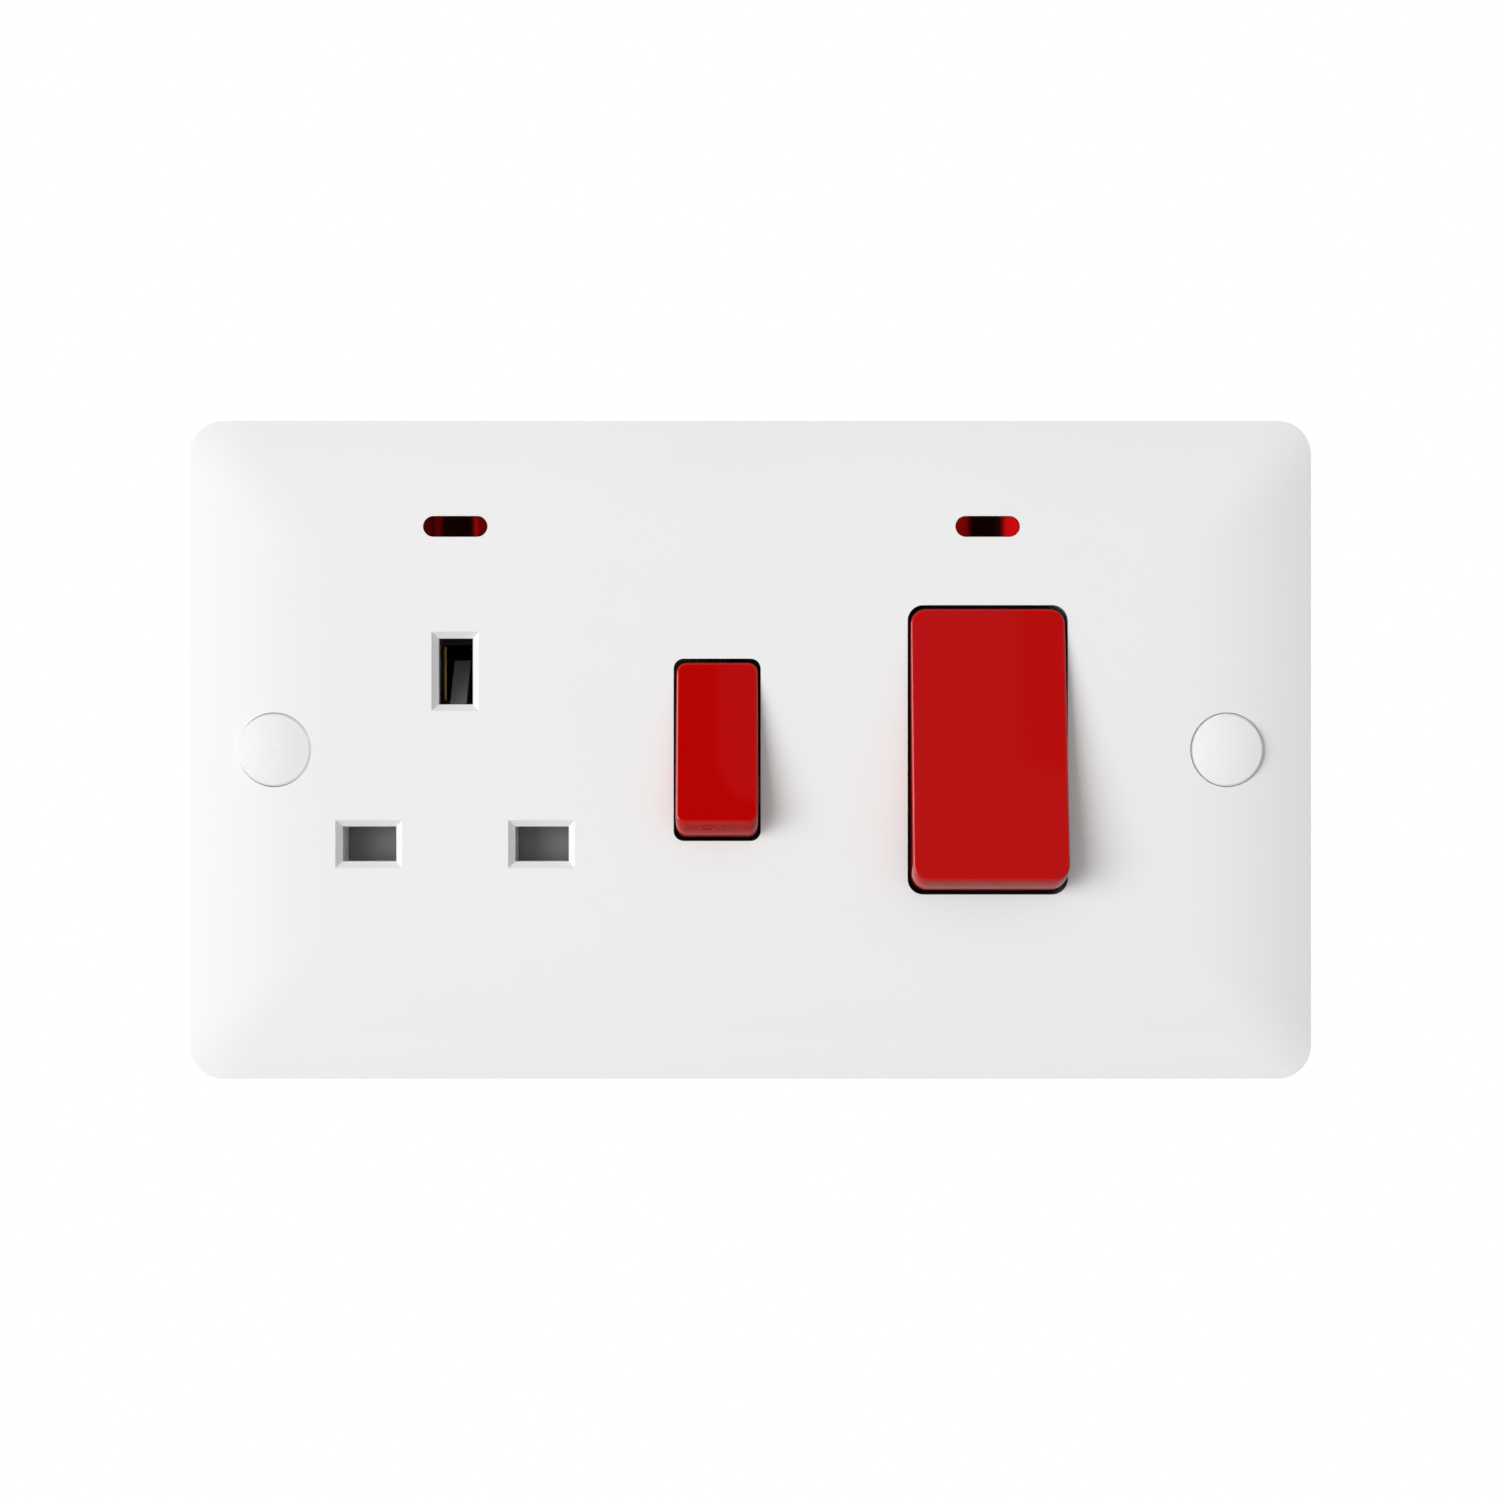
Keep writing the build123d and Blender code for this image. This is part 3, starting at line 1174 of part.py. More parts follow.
# Screw caps
for place_name, (cap_x, cap_z) in zip(("left", "right"), CAP_PLACES):
    cap_rim = CAP_TOP - CAP_DOME
    with BuildPart() as screw_cap:
        with BuildSketch(across_at(cap_z)):
            with BuildLine():
                Line((cap_x, CAP_SHOULDER), (cap_x, CAP_TOP))
                TangentArc((cap_x, CAP_TOP), (cap_x + CAP_RADIUS - CAP_EDGE, cap_rim), tangent=(1, 0))
                Line((cap_x + CAP_RADIUS - CAP_EDGE, cap_rim), (cap_x + CAP_RADIUS, cap_rim - CAP_EDGE))
                Line((cap_x + CAP_RADIUS, cap_rim - CAP_EDGE), (cap_x + CAP_RADIUS, CAP_SHOULDER))
                Line((cap_x + CAP_RADIUS, CAP_SHOULDER), (cap_x, CAP_SHOULDER))
            make_face()
        revolve(axis=Axis((cap_x, 0, cap_z), (0, 1, 0)))
        with BuildSketch(level(CAP_SHOULDER)):
            with Locations((cap_x, cap_z)):
                Circle(CAP_PLUG_RADIUS)
        extrude(amount=-CAP_PLUG_DEPTH)
    save(screw_cap.part, f"screw_cap_{place_name}")

# Fixing screws
with BuildPart() as fixing_screws:
    with BuildSketch(level(FIXING_SEAT)):
        with Locations(*FIXING_PLACES):
            Circle(FIXING_HEAD_RADIUS)
    extrude(amount=FIXING_HEAD_HEIGHT)
    chamfer(fixing_screws.edges().group_by(Axis.Y)[0], length=FIXING_HEAD_HEIGHT / 2)
    with BuildSketch(level(FIXING_SEAT + FIXING_HEAD_HEIGHT)):
        with Locations(*FIXING_PLACES):
            Rectangle(2 * FIXING_HEAD_RADIUS, SCREW_SLOT)
    extrude(amount=-FIXING_HEAD_HEIGHT / 2, mode=Mode.SUBTRACT)
    with BuildSketch(level(FIXING_SEAT)):
        with Locations(*FIXING_PLACES):
            Circle(FIXING_NECK_RADIUS)
    extrude(amount=-FIXING_SEAT - FIXING_NECK_EXTRA)
    with BuildSketch(level(-FIXING_NECK_EXTRA)):
        with Locations(*FIXING_PLACES):
            Circle(FIXING_THREAD_RADIUS)
    extrude(amount=FIXING_NECK_EXTRA - FIXING_REACH)
save(fixing_screws.part, "fixing_screws")

# Screws that hold the bases to the plate
with BuildPart() as base_screws:
    with BuildSketch(level(-BASE_SCREW_SEAT)):
        with Locations(*COOKER_SCREWS, *SOCKET_SCREWS):
            Circle(BASE_SCREW_RADIUS)
    extrude(amount=BASE_SCREW_SEAT + BASE_SCREW_GRIP)
    with BuildSketch(level(-BASE_SCREW_SEAT)):
        with Locations(*COOKER_SCREWS, *SOCKET_SCREWS):
            Circle(BASE_SCREW_HEAD_RADIUS)
    extrude(amount=-BASE_SCREW_HEAD_HEIGHT)
    with BuildSketch(level(-BASE_SCREW_SEAT - BASE_SCREW_HEAD_HEIGHT)):
        with Locations(*COOKER_SCREWS, *SOCKET_SCREWS):
            Rectangle(2 * BASE_SCREW_HEAD_RADIUS, SCREW_SLOT)
    extrude(amount=BASE_SCREW_HEAD_HEIGHT / 2, mode=Mode.SUBTRACT)
save(base_screws.part, "base_screws")
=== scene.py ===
import bpy
import json
from math import cos, radians
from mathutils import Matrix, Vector

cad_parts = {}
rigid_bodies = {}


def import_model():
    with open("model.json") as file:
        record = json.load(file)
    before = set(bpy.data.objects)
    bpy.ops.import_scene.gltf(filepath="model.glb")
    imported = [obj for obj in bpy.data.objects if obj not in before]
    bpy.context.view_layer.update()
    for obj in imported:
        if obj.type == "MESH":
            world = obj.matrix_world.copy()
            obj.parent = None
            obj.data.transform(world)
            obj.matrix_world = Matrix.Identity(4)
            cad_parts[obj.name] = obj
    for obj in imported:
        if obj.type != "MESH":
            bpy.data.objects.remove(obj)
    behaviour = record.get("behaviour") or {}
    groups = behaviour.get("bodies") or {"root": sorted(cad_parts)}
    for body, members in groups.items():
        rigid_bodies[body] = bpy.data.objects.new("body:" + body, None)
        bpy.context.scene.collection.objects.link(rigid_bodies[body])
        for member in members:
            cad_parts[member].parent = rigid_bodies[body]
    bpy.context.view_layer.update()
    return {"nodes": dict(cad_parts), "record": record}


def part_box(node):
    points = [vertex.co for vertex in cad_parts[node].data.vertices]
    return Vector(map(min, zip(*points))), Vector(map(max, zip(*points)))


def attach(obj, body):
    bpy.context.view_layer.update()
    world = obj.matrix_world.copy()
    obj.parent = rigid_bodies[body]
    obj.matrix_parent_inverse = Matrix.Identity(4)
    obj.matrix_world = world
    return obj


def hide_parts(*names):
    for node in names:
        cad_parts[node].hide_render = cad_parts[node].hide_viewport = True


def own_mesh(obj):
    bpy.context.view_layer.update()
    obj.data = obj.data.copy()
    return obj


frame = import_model()
nodes = frame["nodes"]
scene = bpy.context.scene
scene.view_settings.view_transform = "Standard"


# Node helpers


def shading(mat):
    """A material's node tree and its Principled shader."""
    return mat.node_tree, mat.node_tree.nodes["Principled BSDF"]


def new_material(name):
    """A node material, its tree and its Principled shader."""
    mat = bpy.data.materials.new(name)
    mat.use_nodes = True
    return mat, *shading(mat)


def bare_material(name):
    """A node material with an empty tree, and the input that takes its surface."""
    mat = bpy.data.materials.new(name)
    mat.use_nodes = True
    tree = mat.node_tree
    tree.nodes.clear()
    return mat, tree, tree.nodes.new("ShaderNodeOutputMaterial").inputs["Surface"]


def feed(tree, value, socket):
    """Set an input to a number, or link it to an output."""
    if isinstance(value, float):
        socket.default_value = value
    else:
        tree.links.new(value, socket)


def math_node(tree, operation, first, second=0.0):
    """The result of one sum, each side a number or a socket."""
    node = tree.nodes.new("ShaderNodeMath")
    node.operation = operation
    for value, socket in zip((first, second), node.inputs):
        feed(tree, value, socket)
    return node.outputs["Value"]


def span(tree, value, start, end, low=0.0, high=1.0, smooth=False):
    """A value mapped from start..end to low..high, and held outside."""
    node = tree.nodes.new("ShaderNodeMapRange")
    node.inputs["From Min"].default_value = start
    node.inputs["From Max"].default_value = end
    node.inputs["To Min"].default_value = low
    node.inputs["To Max"].default_value = high
    if smooth:
        node.interpolation_type = "SMOOTHSTEP"
    tree.links.new(value, node.inputs["Value"])
    return node.outputs["Result"]


def coordinate(tree, kind):
    """A texture coordinate of one kind."""
    return tree.nodes.new("ShaderNodeTexCoord").outputs[kind]


def split(tree, vector):
    """The X, Y and Z of a vector."""
    node = tree.nodes.new("ShaderNodeSeparateXYZ")
    tree.links.new(vector, node.inputs["Vector"])
    return node.outputs


def dot_with(tree, vector, direction):
    """How far a vector reaches along a direction."""
    node = tree.nodes.new("ShaderNodeVectorMath")
    node.operation = "DOT_PRODUCT"
    node.inputs[1].default_value = direction
    tree.links.new(vector, node.inputs[0])
    return node.outputs["Value"]


def scale_colour(tree, colour, level):
    """Scale what feeds a colour input by a level."""
    node = tree.nodes.new("ShaderNodeVectorMath")
    node.operation = "SCALE"
    tree.links.new(colour.links[0].from_socket, node.inputs["Vector"])
    tree.links.new(level, node.inputs["Scale"])
    tree.links.new(node.outputs["Vector"], colour)


def scale_number(tree, number, level):
    """Scale what feeds a number input by a level."""
    tree.links.new(math_node(tree, "MULTIPLY", number.links[0].from_socket, level), number)


def ramp(tree, factor, stops):
    """A colour ramp through stops, each a place and a colour."""
    node = tree.nodes.new("ShaderNodeValToRGB")
    elements = node.color_ramp.elements
    for i, (place, colour) in enumerate(stops):
        stop = elements[i] if i < 2 else elements.new(place)
        stop.position = place
        stop.color = (*colour, 1)
    tree.links.new(factor, node.inputs["Fac"])
    return node.outputs["Color"]


def noise(tree, scale, detail=3.0, stretch=None):
    """Noise over the object, in metres, stretched where a finish has a grain."""
    source = coordinate(tree, "Object")
    if stretch:
        mapping = tree.nodes.new("ShaderNodeMapping")
        mapping.inputs["Scale"].default_value = stretch
        tree.links.new(source, mapping.inputs["Vector"])
        source = mapping.outputs["Vector"]
    texture = tree.nodes.new("ShaderNodeTexNoise")
    texture.inputs["Scale"].default_value = scale
    texture.inputs["Detail"].default_value = detail
    tree.links.new(source, texture.inputs["Vector"])
    return texture.outputs["Fac"]


# Materials, with noise scales in waves to the metre
PLASTIC_IOR = 1.49
RAMP_ENDS = (0.3, 0.7)
COLOUR_DRIFT = 35.0
GLOSS_DRIFT = 160.0
GLOSS_RANGE = (0.9, 1.15)
TARNISH_DRIFT = 220.0
STREAKS = 900.0
STREAK_RANGE = (0.75, 1.3)
# How much a metal's streaks are drawn out along X, Y and Z: the smaller, the longer
ROLLED = (1.0, 1.0, 0.08)
BAR = (1.0, 1.0, 0.1)
CUT = (1.0, 1.0, 1.0)
DRAWN = (0.3, 1.0, 1.0)


def colour_from(tree, shader, factor, low, high):
    """Colour that drifts between two values."""
    colour = ramp(tree, factor, zip(RAMP_ENDS, (low, high)))
    tree.links.new(colour, shader.inputs["Base Color"])


def roughness_from(tree, shader, factor, low, high):
    """Roughness that wanders between two values."""
    tree.links.new(span(tree, factor, 0.0, 1.0, low, high), shader.inputs["Roughness"])


def bump_from(tree, shader, factor, depth):
    """A fine surface texture."""
    bump = tree.nodes.new("ShaderNodeBump")
    bump.inputs["Distance"].default_value = depth
    bump.inputs["Strength"].default_value = 1.0
    tree.links.new(factor, bump.inputs["Height"])
    tree.links.new(bump.outputs["Normal"], shader.inputs["Normal"])


def plastic(name, colour, rough, shade=0.02, grain=900.0, depth=2e-6):
    """Moulded plastic: a faint drift of colour and gloss over a fine skin."""
    mat, tree, shader = new_material(name)
    darker = [c * (1 - shade) for c in colour]
    lighter = [min(1.0, c * (1 + shade)) for c in colour]
    colour_from(tree, shader, noise(tree, COLOUR_DRIFT, detail=2.0), darker, lighter)
    low, high = (rough * share for share in GLOSS_RANGE)
    roughness_from(tree, shader, noise(tree, GLOSS_DRIFT, detail=4.0), low, high)
    bump_from(tree, shader, noise(tree, grain, detail=2.0), depth)
    shader.inputs["IOR"].default_value = PLASTIC_IOR
    return mat


def metal(name, darker, lighter, rough, stretch, depth=4e-6):
    """Rolled, drawn or cut metal: streaks along its grain and slight tarnish."""
    mat, tree, shader = new_material(name)
    colour_from(tree, shader, noise(tree, TARNISH_DRIFT, detail=5.0), darker, lighter)
    streaks = noise(tree, STREAKS, stretch=stretch)
    low, high = (rough * share for share in STREAK_RANGE)
    roughness_from(tree, shader, streaks, low, high)
    bump_from(tree, shader, streaks, depth)
    shader.inputs["Metallic"].default_value = 1.0
    return mat


def white_plastic(name):
    """Glossy white of the plate and its caps."""
    return plastic(name, (0.83, 0.83, 0.829), rough=0.07, shade=0.004, depth=1e-6)


# Rockers: glossy on the face, quieter on the sides, with painted shade where they sink into their wells
ROCKER_RED = (0.464, 0.0008, 0.0009)
ROCKER_FRONT = (0.0, -0.978, 0.208)
SIDE_TO_FACE = (0.3, 0.6)
SIDE_SHEEN = 0.05
FACE_SHEEN = 0.5
GAP_REACH = 0.0026
GAP_RAYS = 8
GAP_OPEN = (0.35, 0.85)
GAP_SHADE = 0.02
COOKER_FRONT = (0.0, -0.98163, 0.19081)
COOKER_FACE = 0.01199
END_DEPTHS = (0.0026, 0.0046)
END_SHADE = 0.25


def dim(tree, shader, level, sheen_level):
    """Scale a shader's colour and its sheen, each by its own level."""
    scale_colour(tree, shader.inputs["Base Color"], level)
    scale_number(tree, shader.inputs["Specular IOR Level"], sheen_level)


def quieter_sides(mat):
    """Full gloss on a rocker's face, and less round it."""
    tree, shader = shading(mat)
    facing = dot_with(tree, coordinate(tree, "Normal"), ROCKER_FRONT)
    sheen = span(tree, facing, *SIDE_TO_FACE, SIDE_SHEEN, FACE_SHEEN)
    tree.links.new(sheen, shader.inputs["Specular IOR Level"])


def shaded_gap(mat):
    """Painted shade: colour and sheen that sink towards black where a neighbour stands within reach."""
    tree, shader = shading(mat)
    shelter = tree.nodes.new("ShaderNodeAmbientOcclusion")
    shelter.samples = GAP_RAYS
    shelter.inputs["Distance"].default_value = GAP_REACH
    level = span(tree, shelter.outputs["AO"], *GAP_OPEN, GAP_SHADE)
    dim(tree, shader, level, level)


def rocker_plastic(name):
    """Glossy red plastic of a rocker that sinks into its well."""
    mat = plastic(name, ROCKER_RED, rough=0.04, shade=0.012, depth=3e-7)
    quieter_sides(mat)
    shaded_gap(mat)
    return mat


def cooker_rocker_plastic(name):
    """The same, with painted shade on the ends: they darken and lose their sheen with depth below the
    face.
    """
    mat = rocker_plastic(name)
    tree, shader = shading(mat)
    height = dot_with(tree, coordinate(tree, "Object"), COOKER_FRONT)
    start, end = (COOKER_FACE - depth for depth in END_DEPTHS)
    levels = [span(tree, height, end, start, lowest, smooth=True) for lowest in (END_SHADE, 0.0)]
    dim(tree, shader, *levels)
    return mat


# Earth contact: painted shade darkens it in its slot, behind the front edge of one leaf and before the
# back plate
LEAF_RIGHT = -0.0393
LEAF_SIDE_FADE = 0.0001
LEAF_FRONT = 0.0018
LEAF_FADE = 0.0012
BACK_PLATE = 0.0158
BACK_FADE = 0.0003
# How dark the painted shade in the slot is
SLOT_SHADE = 0.01
POLISHED = 0.2
POLISH_FADE = 0.0008


def earth_brass(name):
    """Brass at its own colour on the leaf's front edge and behind the slot, and darkened to near black
    by painted shade between them.
    """
    mat = metal(name, (0.8, 0.46, 0.16), (0.95, 0.6, 0.26), rough=0.28, stretch=ROLLED)
    tree, shader = shading(mat)
    place = split(tree, coordinate(tree, "Object"))
    leaf_ends = (LEAF_RIGHT - LEAF_SIDE_FADE, LEAF_RIGHT + LEAF_SIDE_FADE)
    leaf = span(tree, place["X"], *leaf_ends, 1.0, 0.0)
    edge = span(tree, place["Y"], LEAF_FRONT, LEAF_FRONT + LEAF_FADE, 1.0, 0.0)
    behind = span(tree, place["Y"], BACK_PLATE, BACK_PLATE + BACK_FADE)
    level = math_node(tree, "MAXIMUM", math_node(tree, "MULTIPLY", leaf, edge), behind)
    level = math_node(tree, "MAXIMUM", level, SLOT_SHADE)
    scale_colour(tree, shader.inputs["Base Color"], level)
    polish = span(tree, place["Y"], LEAF_FRONT - POLISH_FADE, LEAF_FRONT, POLISHED)
    scale_number(tree, shader.inputs["Roughness"], polish)
    return mat


# Neon lenses and lamps
LENS_HALF = 0.0042
LENS_RED = (1.0, 0.004, 0.006)
LENS_MOTTLE = 1100.0
LENS_WANDER = 0.03
LENS_SHEEN = 0.04
GLASS_DRIFT = 300.0
GLASS_GLOSS = 500.0
LAMP_CLEAR = 0.7
# Painted light and shade in bands across a lens: places from 0 at its left to 1 at its right, and how
# bright the red is there
LEFT_BANDS = (
    (0.1, 0.055), (0.17, 0.028), (0.25, 0.08), (0.3, 0.05), (0.345, 0.006),
    (0.73, 0.003), (0.78, 0.02), (0.84, 0.27), (0.89, 0.09), (0.95, 0.12),
)
RIGHT_BANDS = (
    (0.1, 0.17), (0.18, 0.15), (0.24, 0.028), (0.29, 0.004), (0.62, 0.005),
    (0.7, 0.018), (0.75, 0.17), (0.79, 0.5), (0.93, 0.6),
)


def lens_plastic(name, node, bands):
    """Red plastic over a hollow, with light and shade painted into its colour: near black over the
    lamp, redder where light gets round it.
    """
    low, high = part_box(node)
    centre = (low[0] + high[0]) / 2
    mat, tree, shader = new_material(name)
    place = split(tree, coordinate(tree, "Object"))
    along = span(tree, place["X"], centre - LENS_HALF, centre + LENS_HALF)
    wander = math_node(tree, "MULTIPLY", noise(tree, LENS_MOTTLE), LENS_WANDER)
    stops = [(spot, [level * c for c in LENS_RED]) for spot, level in bands]
    colour = ramp(tree, math_node(tree, "ADD", wander, along), stops)
    tree.links.new(colour, shader.inputs["Base Color"])
    roughness_from(tree, shader, noise(tree, GLASS_GLOSS), low=0.08, high=0.14)
    shader.inputs["IOR"].default_value = PLASTIC_IOR
    shader.inputs["Specular IOR Level"].default_value = LENS_SHEEN
    return mat


def lamp_glass(name):
    """Glass of a neon lamp, faintly smoky."""
    mat, tree, shader = new_material(name)
    colour_from(tree, shader, noise(tree, GLASS_DRIFT), (0.5, 0.3, 0.25), (0.7, 0.5, 0.42))
    roughness_from(tree, shader, noise(tree, GLASS_GLOSS), low=0.05, high=0.15)
    shader.inputs["Transmission Weight"].default_value = LAMP_CLEAR
    return mat


# The plate's crown: its shading follows one smooth curve, so that the corner blends show no facets
CROWN_WIDTH = 0.019
CROWN_DROP = 0.0027
CROWN_SLOPE = 0.3
CROWN_POWER = 1.35
CROWN_BLEND = 0.3
CROWN_SKIN = 0.0007
FRONT_FACING = -0.9
TINY_DROP = 1e-9


def crown(tree, place, half):
    """How far the crown has fallen at a place along one side, and the slope its shading shows there."""
    run = span(tree, math_node(tree, "ABSOLUTE", place), half - CROWN_WIDTH, half)
    slope = math_node(tree, "MULTIPLY", math_node(tree, "POWER", run, CROWN_POWER), CROWN_SLOPE)
    drop = math_node(tree, "MULTIPLY", math_node(tree, "MULTIPLY", run, run), CROWN_DROP)
    return drop, math_node(tree, "MULTIPLY", slope, math_node(tree, "SIGN", place))


def crown_normal(tree, drop_x, slope_x, drop_z, slope_z):
    """The way the crown faces, blended round the corners between its two slopes."""
    both = math_node(tree, "ADD", math_node(tree, "ADD", drop_x, drop_z), TINY_DROP)
    part = math_node(tree, "DIVIDE", drop_x, both)
    share = span(tree, part, 0.5 - CROWN_BLEND, 0.5 + CROWN_BLEND, smooth=True)
    rest = math_node(tree, "SUBTRACT", 1.0, share)
    bent = tree.nodes.new("ShaderNodeCombineXYZ")
    bent.inputs["Y"].default_value = -1.0
    tree.links.new(math_node(tree, "MULTIPLY", slope_x, share), bent.inputs["X"])
    tree.links.new(math_node(tree, "MULTIPLY", slope_z, rest), bent.inputs["Z"])
    return bent.outputs["Vector"]


def crowned_plastic(name, node):
    """White plastic whose shading bends with the crown on the front skin, and on no other face."""
    mat = white_plastic(name)
    tree = mat.node_tree
    low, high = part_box(node)
    place = split(tree, coordinate(tree, "Object"))
    drop_x, slope_x = crown(tree, place["X"], high[0])
    drop_z, slope_z = crown(tree, place["Z"], high[2])
    surface = tree.nodes.new("ShaderNodeNewGeometry").outputs
    fallen = math_node(tree, "ADD", math_node(tree, "MAXIMUM", drop_x, drop_z), float(low[1]))
    depth = math_node(tree, "ABSOLUTE", math_node(tree, "SUBTRACT", place["Y"], fallen))
    near = math_node(tree, "LESS_THAN", depth, CROWN_SKIN)
    facing = math_node(tree, "LESS_THAN", split(tree, surface["True Normal"])["Y"], FRONT_FACING)
    pick = tree.nodes.new("ShaderNodeMix")
    pick.data_type = "VECTOR"
    own, crowned = (s for s in pick.inputs if s.type == "VECTOR" and s.name in ("A", "B"))
    picked = next(s for s in pick.outputs if s.type == "VECTOR")
    tree.links.new(math_node(tree, "MULTIPLY", near, facing), pick.inputs["Factor"])
    tree.links.new(surface["Normal"], own)
    tree.links.new(crown_normal(tree, drop_x, slope_x, drop_z, slope_z), crowned)
    unit = tree.nodes.new("ShaderNodeVectorMath")
    unit.operation = "NORMALIZE"
    tree.links.new(picked, unit.inputs[0])
    tree.links.new(unit.outputs["Vector"], tree.nodes["Bump"].inputs["Normal"])
    return mat


# Each node takes its own material where it has one, or else that of its slot
by_slot = {
    "white_plastic": white_plastic("white plastic"),
    "red_plastic": rocker_plastic("red plastic"),
    "lens_red": lens_plastic("left neon lens", "neon_lens_left", LEFT_BANDS),
    "lamp_glass": lamp_glass("neon lamp glass"),
    "grey_plastic": plastic(
        "shutter plastic", (0.17, 0.17, 0.17), rough=0.5, shade=0.05, grain=700.0, depth=6e-6
    ),
    "base_plastic": plastic(
        "base plastic", (0.017, 0.017, 0.018), rough=0.42, shade=0.12, grain=600.0, depth=6e-6
    ),
    "plunger_plastic": plastic("plunger plastic", (0.8, 0.79, 0.75), rough=0.4),
    "brass": metal("brass", (0.62, 0.4, 0.13), (0.78, 0.56, 0.24), rough=0.28, stretch=ROLLED),
    "copper": metal("copper", (0.6, 0.27, 0.14), (0.76, 0.4, 0.24), rough=0.3, stretch=BAR),
    "screw_steel": metal(
        "zinc plated steel", (0.52, 0.52, 0.5), (0.7, 0.7, 0.66), rough=0.3, stretch=CUT
    ),
    "spring_steel": metal(
        "spring wire", (0.4, 0.4, 0.42), (0.6, 0.6, 0.62), rough=0.25, stretch=DRAWN
    ),
}
by_node = {
    "front_plate": crowned_plastic("white plastic of the plate", "front_plate"),
    "cooker_rocker": cooker_rocker_plastic("red plastic of the cooker rocker"),
    "neon_lens_right": lens_plastic("right neon lens", "neon_lens_right", RIGHT_BANDS),
    "earth_contact": earth_brass("earth brass"),
}
for subpart in frame["record"]["subparts"]:
    mesh = nodes[subpart["node"]].data
    mesh.materials.clear()
    mesh.materials.append(by_node.get(subpart["node"], by_slot[subpart["material_slot"]]))


# The socket rocker's mark: letters raised on its lower end, which only the "on" position shows
MARK_RED = (0.4, 0.0008, 0.0009)
MARK_SHEEN = 0.12
MARK_SIZE = 0.0021
MARK_WIDEN = 1.35
MARK_SPACING = 1.15
MARK_RAISE = 0.00005
MARK_SINK = 0.0002
MARK_CLEAR = 0.002
MARK_PLACE = Vector((-0.0043, -0.0128, -0.02))


def mark_plastic(name):
    """Red plastic, matter and darker than the rocker's."""
    mat = plastic(name, MARK_RED, rough=0.3, shade=0.012)
    _, shader = shading(mat)
    shader.inputs["Specular IOR Level"].default_value = MARK_SHEEN
    return mat


def letter_mesh(words):
    """Flat letters about their own centre."""
    data = bpy.data.curves.new("mark outline", "FONT")
    data.body = words
    data.size = MARK_SIZE
    data.extrude = MARK_RAISE
    data.space_character = MARK_SPACING
    data.align_x = "CENTER"
    data.align_y = "CENTER"
    outline = bpy.data.objects.new("mark outline", data)
    scene.collection.objects.link(outline)
    bpy.context.view_layer.update()
    mesh = bpy.data.meshes.new_from_object(outline)
    bpy.data.objects.remove(outline)
    return mesh


def raised_mark(words, node, material):
    """Letters wrapped onto the end of a rocker, riding with it."""
    surface = nodes[node]
    _, spot, out_of, _ = surface.ray_cast(MARK_PLACE, Vector((0, 0, 1)))
    across = Vector((1, 0, 0))
    up = out_of.cross(across)
    mesh = letter_mesh(words)
    for vertex in mesh.vertices:
        flat = spot + across * (vertex.co.x * MARK_WIDEN) + up * vertex.co.y
        _, wrapped, _, _ = surface.ray_cast(flat + out_of * MARK_CLEAR, -out_of)
        vertex.co = wrapped + out_of * (MARK_RAISE if vertex.co.z > 0 else -MARK_SINK)
    mesh.materials.clear()
    mesh.materials.append(material)
    mark = bpy.data.objects.new("socket_rocker_mark", mesh)
    scene.collection.objects.link(mark)
    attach(mark, node)


raised_mark("ON", "socket_rocker", mark_plastic("red plastic of the mark"))


# Springs


def sprung(node, joint):
    """A copy of a coil on its own mesh, riding with the parent of its joint, in place of the one from
    the model.
    """
    slide = next(j for j in frame["record"]["behaviour"]["joints"] if j["name"] == joint)
    coil = bpy.data.objects.new(node + "_coil", nodes[node].data.copy())
    scene.collection.objects.link(coil)
    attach(coil, slide["parent"])
    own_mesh(coil)
    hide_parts(node)


sprung("shutter_spring", "shutter_slide")
sprung("socket_spring", "socket_plunger_slide")
sprung("cooker_spring_line", "cooker_line_plunger_slide")
sprung("cooker_spring_neutral", "cooker_neutral_plunger_slide")


# Floor and backdrop, with the light tent that the part's gloss sees in place of their white
TENT = 0.5
STAGE_GREY = (0.42, 0.42, 0.42, 1)
STAGE_SIZE = 6.0
FLOOR_Z = -1.5
BACKDROP_Y = 1.6
PURE_WHITE = (1, 1, 1, 1)


def white_stage(name):
    """White to the camera and through glass, as bright as the tent in gloss, and grey to other rays."""
    mat, tree, surface = bare_material(name)
    rays = tree.nodes.new("ShaderNodeLightPath").outputs
    diffuse = tree.nodes.new("ShaderNodeBsdfDiffuse")
    diffuse.inputs["Color"].default_value = STAGE_GREY
    glow = tree.nodes.new("ShaderNodeEmission")
    glow.inputs["Color"].default_value = PURE_WHITE
    dimmed = math_node(tree, "MULTIPLY", rays["Is Glossy Ray"], 1 - TENT)
    tree.links.new(math_node(tree, "SUBTRACT", 1.0, dimmed), glow.inputs["Strength"])
    seen = math_node(tree, "MAXIMUM", rays["Is Camera Ray"], rays["Is Glossy Ray"])
    seen = math_node(tree, "MAXIMUM", seen, rays["Is Transmission Ray"])
    mix = tree.nodes.new("ShaderNodeMixShader")
    tree.links.new(seen, mix.inputs["Fac"])
    tree.links.new(diffuse.outputs["BSDF"], mix.inputs[1])
    tree.links.new(glow.outputs["Emission"], mix.inputs[2])
    tree.links.new(mix.outputs["Shader"], surface)
    return mat


stage_white = white_stage("stage")
bpy.ops.mesh.primitive_plane_add(size=STAGE_SIZE, location=(0, 0, FLOOR_Z))
floor = bpy.context.object
floor.name = "floor"
upright = (radians(90), 0, 0)
bpy.ops.mesh.primitive_plane_add(size=STAGE_SIZE, location=(0, BACKDROP_Y, 0), rotation=upright)
backdrop = bpy.context.object
backdrop.name = "backdrop"
for piece in (floor, backdrop):
    piece.data.materials.append(stage_white)


